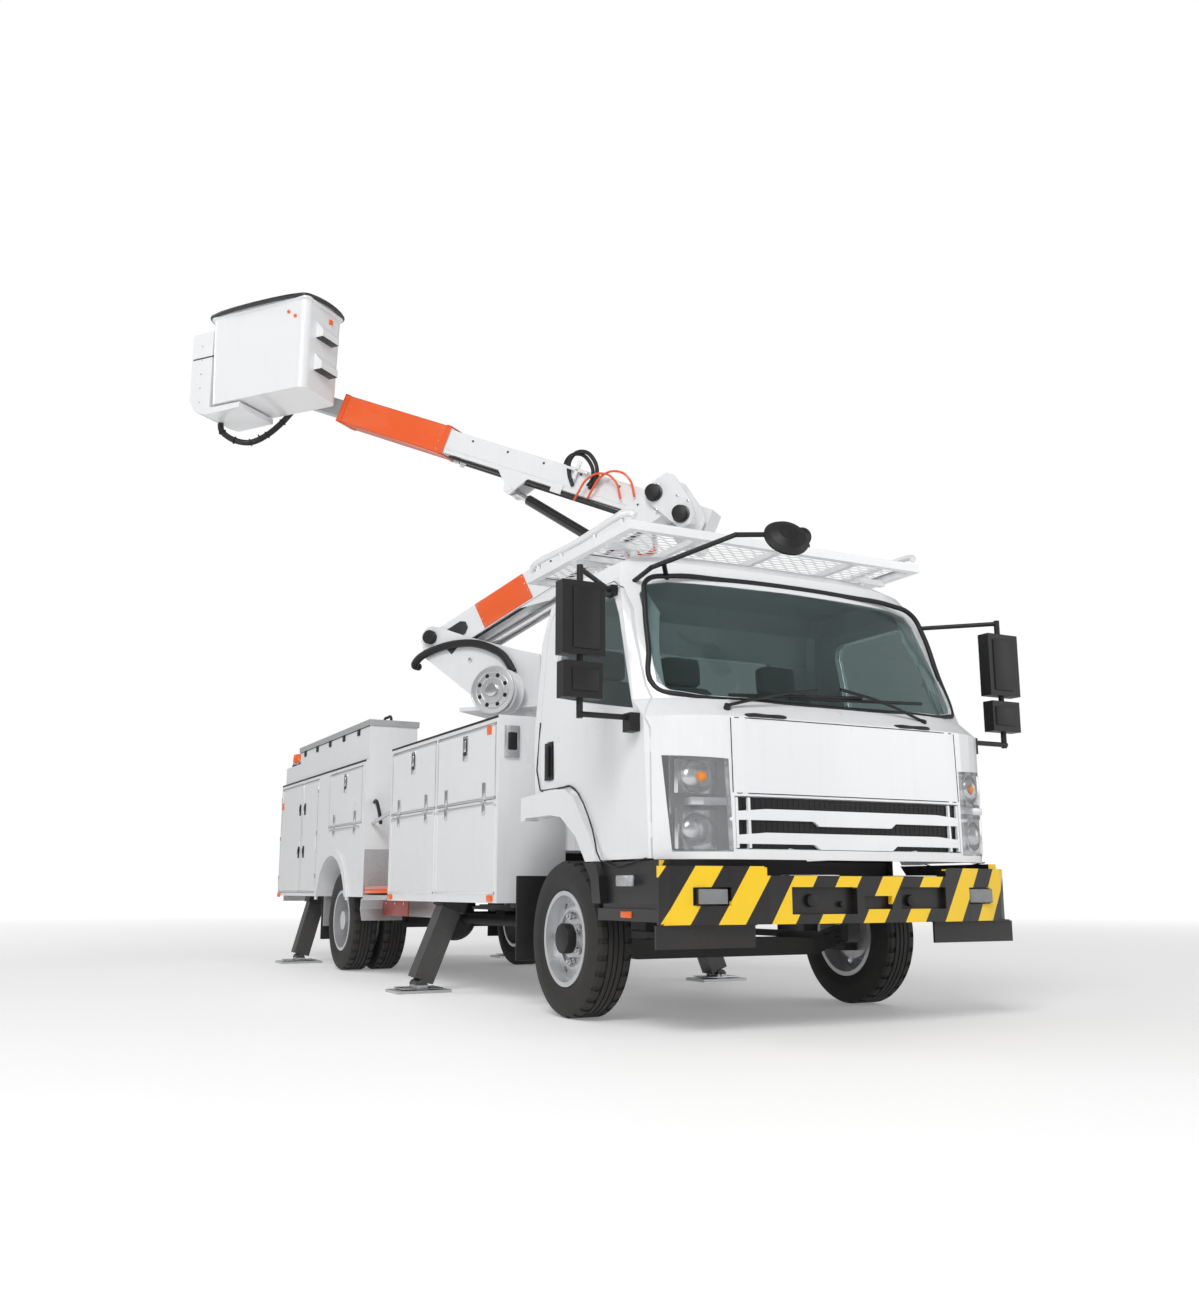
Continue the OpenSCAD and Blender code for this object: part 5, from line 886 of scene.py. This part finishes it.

# %% [markdown]
# The cab roof carries a ladder rack: raised side tubes and a floor of expanded mesh. Each
# zigzag strand is built in one loop, row after row across the rack, each row mirrored by
# half a step, which is exactly how the sheet is slit and stretched.

# %% Roof rack, beacon and roof fittings
bpy.ops.object.select_all(action="DESELECT")
bpy.ops.mesh.primitive_cylinder_add(vertices=48, radius=0.042, depth=0.03, location=(0.16, -0.56, 2.42))
settle(bpy.context.object, "beacon_foot", TRUCK, M["plastic"], "cab", bevel=0.004)
bpy.ops.object.select_all(action="DESELECT")
bpy.ops.mesh.primitive_uv_sphere_add(segments=32, ring_count=16, radius=0.052, location=(0.16, -0.56, 2.478))
settle(bpy.context.object, "beacon_ball", TRUCK, M["plastic"], "cab", soft=60)
for side, s in sides():
    tube(f"rack_rail_{side}", [(s * 0.885, -0.61, 2.43), (s * 0.9, -0.58, 2.452), (s * 0.9, 0, 2.452),
        (s * 0.9, 0.58, 2.452), (s * 0.885, 0.61, 2.43)], 0.017, M["white"], "cab")
    for k, y in enumerate((-0.5, -0.2, 0.2, 0.5)):
        bar(f"rack_stud_{side}_{k}", (s * 0.9, y, 2.4), (s * 0.9, y, 2.45), 0.011, M["white"], "cab", verts=12)
rows, steps = 30, 44
y0, dy, x0, dx = -0.58, 0.0395, -0.88, 0.04
bpy.ops.object.select_all(action="DESELECT")
bpy.ops.mesh.primitive_plane_add(size=1, location=(0, 0, 0))
strand = bpy.context.object
bm = bmesh.new()
for r in range(rows):
    prev = None
    for k in range(steps + 1):
        x = x0 + k * dx
        y = y0 + r * dy + (dy * 0.47 if (k + r) % 2 else 0.0)
        four = [bm.verts.new((x, y - 0.0042, 2.4065)), bm.verts.new((x, y + 0.0042, 2.4065)),
            bm.verts.new((x, y + 0.0042, 2.4095)), bm.verts.new((x, y - 0.0042, 2.4095))]
        if prev:
            for i in range(4):
                j = (i + 1) % 4
                bm.faces.new((prev[i], four[i], four[j], prev[j]))
        else:
            bm.faces.new(four)
        prev = four
    bm.faces.new(prev[::-1])
bmesh.ops.recalc_face_normals(bm, faces=bm.faces)
bm.to_mesh(strand.data)
bm.free()
settle(strand, "rack_mesh", TRUCK, M["white"], "cab")
print("rack mesh faces", len(strand.data.polygons))

# %% [markdown]
# The rear body carries the tool tier with two orange beacons, lid clips, a handle, the
# grab bar at the gap, a reflective step over the chassis and mudflaps behind the wheels.

# %% Rear body fittings
for side, s in sides():
    for k in range(5):
        box_on(f"tier_clip_{side}_{k}", s, 1.022, 1.034, 3.55 + 0.42 * k, 3.61 + 0.42 * k, 1.80, 1.875, "seal",
            "chassis", 0.004)
    tube(f"tier_handle_{side}", [(s * 0.84, 3.36, 1.895), (s * 0.84, 3.37, 1.93), (s * 0.84, 3.45, 1.94),
        (s * 0.84, 3.53, 1.93), (s * 0.84, 3.54, 1.895)], 0.011, M["plastic"], f"tier_lid_{side}")
    for k, y in enumerate((5.60, 5.86)):
        if s > 0 and k == 0:
            continue   # the left side has one beacon
        bar(f"rear_beacon_base_{side}_{k}", (s * 0.93, y, 1.75), (s * 0.93, y, 1.778), 0.072, M["plastic"],
            "chassis", verts=32, bevel=0.004)
        bar(f"rear_beacon_clear_{side}_{k}", (s * 0.93, y, 1.778), (s * 0.93, y, 1.80), 0.066, M["clear"],
            "chassis", verts=32, bevel=0.003)
        bar(f"rear_beacon_{side}_{k}", (s * 0.93, y, 1.80), (s * 0.93, y, 1.882), 0.068, M["orange_lens"],
            "chassis", verts=32, bevel=0.014, r2=0.06)
    # diamond plate on the gap's rear face, and the grab bar before it
    box_on(f"gap_plate_{side}", s, 0.70, 1.045, 3.2625, 3.2665, 0.60, 1.12, "white_tread", "chassis", 0.001)
    tube(f"grab_bar_{side}", [(s * 0.98, 3.262, 1.27), (s * 0.98, 3.22, 1.275), (s * 0.98, 3.16, 1.22),
        (s * 0.98, 3.10, 1.13), (s * 0.98, 3.09, 1.10)], 0.013, M["plastic"], "chassis")
    # silver bracket on the locker's front face
    box_on(f"front_bracket_{side}", s, 0.93, 1.02, 0.672, 0.688, 1.36, 1.54, "steel", "chassis", 0.004)
    box_on(f"front_bracket_pad_{side}", s, 0.95, 1.0, 0.655, 0.675, 1.40, 1.50, "seal", "chassis", 0.006)
    # a rolled rim round the rear arch
    bpy.ops.object.select_all(action="DESELECT")
    arch = [(s * 1.052, REAR_Y + 0.475 * math.cos(math.radians(a)),
        0.45 + 0.475 * math.sin(math.radians(a))) for a in range(12, 169, 12)]
    tube(f"rear_arch_rim_{side}", arch, 0.014, M["white"], "chassis", res=3)
    box_on(f"front_flap_{side}", s, 0.74, 0.985, 0.56, 0.575, 0.25, 0.70, "seal", "chassis", 0.004)
    box_on(f"rear_flap_{side}", s, 0.52, 0.98, 4.655, 4.67, 0.22, 0.60, "seal", "chassis", 0.004)
    # feet of the outriggers in bare silver
    for tag, y, x in (("front", 1.82, 1.095), ("rear", 5.24, 1.01)):
        box_on(f"foot_{tag}_{side}", s, x - 0.13, x + 0.13, y - 0.095, y + 0.095, 0.0245, 0.031, "steel",
            f"outrigger_{tag}_{side}", 0.002)
print("rear fittings,", len(made), "pieces so far")

# %% [markdown]
# Small parts that catch the eye: silver wear plates on the bumper's top edge, towing parts
# in its recesses, the reflective step and red plate over the chassis, and rear lamps.

# %% Bumper plates, chassis step and rear lamps
for k, (x0, x1) in enumerate(((-0.40, -0.12), (0.19, 0.46))):
    block(f"bumper_plate_{k}", (x0, -1.128, 0.6865), (x1, -1.06, 0.6905), M["steel"], "chassis", bevel=0.001)
for k, (x, z) in enumerate(((-0.27, 0.577), (0.31, 0.575), (-0.1, 0.56))):
    bar(f"recess_part_{k}", (x, -1.102, z), (x, -1.122, z), 0.028 if k < 2 else 0.014, M["plastic"], "chassis",
        verts=24, bevel=0.004)
for side, s in sides():
    step = [(s * 1.0, 2.78), (s * 1.045, 2.9), (s * 1.055, 3.05), (s * 1.045, 3.2), (s * 1.0, 3.26),
        (s * 0.7, 3.26), (s * 0.7, 2.78)]
    if s < 0:
        step = step[::-1]
    plate(f"step_{side}", step, "z", 0.628, 0.652, M["pink"], "chassis", bevel=0.003)
    plate(f"step_edge_{side}", [(x * 1.004, y) for x, y in step], "z", 0.600, 0.628, M["orange"], "chassis",
        bevel=0.003)
    box_on(f"red_plate_{side}", s, 0.86, 0.872, 2.74, 3.5, 0.44, 0.60, "red", "chassis", 0.002)
    for k in range(4):
        bar(f"red_plate_bolt_{side}_{k}", (s * 0.871, 2.82 + 0.2 * k, 0.53), (s * 0.879, 2.82 + 0.2 * k, 0.53),
            0.012, M["steel"], "chassis", verts=6, bevel=0.002)
    box_on(f"tail_lamp_{side}", s, 0.78, 1.0, 6.0, 6.012, 0.72, 0.84, "red_lens", "chassis", 0.004)
    box_on(f"tail_indicator_{side}", s, 0.78, 1.0, 6.0, 6.012, 0.86, 0.93, "orange_lens", "chassis", 0.004)
    box_on(f"rear_edge_lamp_{side}", s, 1.049, 1.06, 5.90, 5.95, 1.36, 1.42, "orange_lens",
        f"rear_side_door_2_{side}", 0.004)

# %% [markdown]
# The seats are foam under cloth, so each cushion, back and headrest is a soft form with a
# crown. A subdivided block whose faces are pushed out in the middle gives that swell, and
# the piece then stands for the plain seats of the frame.

# %% Seats
def cushion(name, lo, hi, turn=0.0, puff=0.012):
    bpy.ops.object.select_all(action="DESELECT")
    mid = Vector([(a + b) / 2 for a, b in zip(lo, hi)])
    half = Vector([(b - a) / 2 for a, b in zip(lo, hi)])
    bpy.ops.mesh.primitive_cube_add(size=2, location=(0, 0, 0))
    obj = bpy.context.object
    bpy.ops.object.mode_set(mode="EDIT")
    bpy.ops.mesh.select_all(action="SELECT")
    bpy.ops.mesh.subdivide(number_cuts=5)
    bpy.ops.object.mode_set(mode="OBJECT")
    for v in obj.data.vertices:
        c = v.co
        f = (1 - c.x * c.x) * (1 - c.y * c.y), (1 - c.y * c.y) * (1 - c.z * c.z), (1 - c.x * c.x) * (1 - c.z * c.z)
        v.co = Vector((c.x * half.x * 0.97, c.y * half.y * 0.97,
            c.z * half.z * 0.95)) + Vector((math.copysign(puff * f[1], c.x) if abs(c.x) > 0.99 else 0,
            math.copysign(puff * f[2], c.y) if abs(c.y) > 0.99 else 0, math.copysign(puff * f[0],
            c.z) if abs(c.z) > 0.99 else 0))
    m = obj.modifiers.new("soft", "SUBSURF")
    m.levels = m.render_levels = 2
    bpy.ops.object.modifier_apply(modifier="soft")
    obj.location = mid
    obj.rotation_euler = (turn, 0, 0)
    settle(obj, name, TRUCK, M["cloth"], "cab", soft=60)
    return obj

for k, (x, w) in enumerate(((0.56, 0.48), (-0.60, 0.44), (-0.11, 0.40))):
    c = cushion(f"seat_cushion_{k}", (x - w / 2, -0.30, 1.1205), (x + w / 2, 0.18, 1.23))
    if k == 0:
        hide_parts("seats")
    cushion(f"seat_back_{k}", (x - w / 2 + 0.012, 0.17, 1.225), (x + w / 2 - 0.012, 0.27, 1.765), math.radians(-8))
    cushion(f"seat_headrest_{k}", (x - 0.12, 0.235, 1.765), (x + 0.12, 0.315, 1.93), math.radians(-5))
print("seat pieces 9")

# %% Size and finish
sunk = [n for n, o in made.items() if min(v.co.z for v in o.data.vertices) < -0.0005]
print("pieces below the ground:", sunk)
print("pieces", len(made), "triangles", sum(len(p.vertices) - 2 for o in made.values() for p in o.data.polygons))
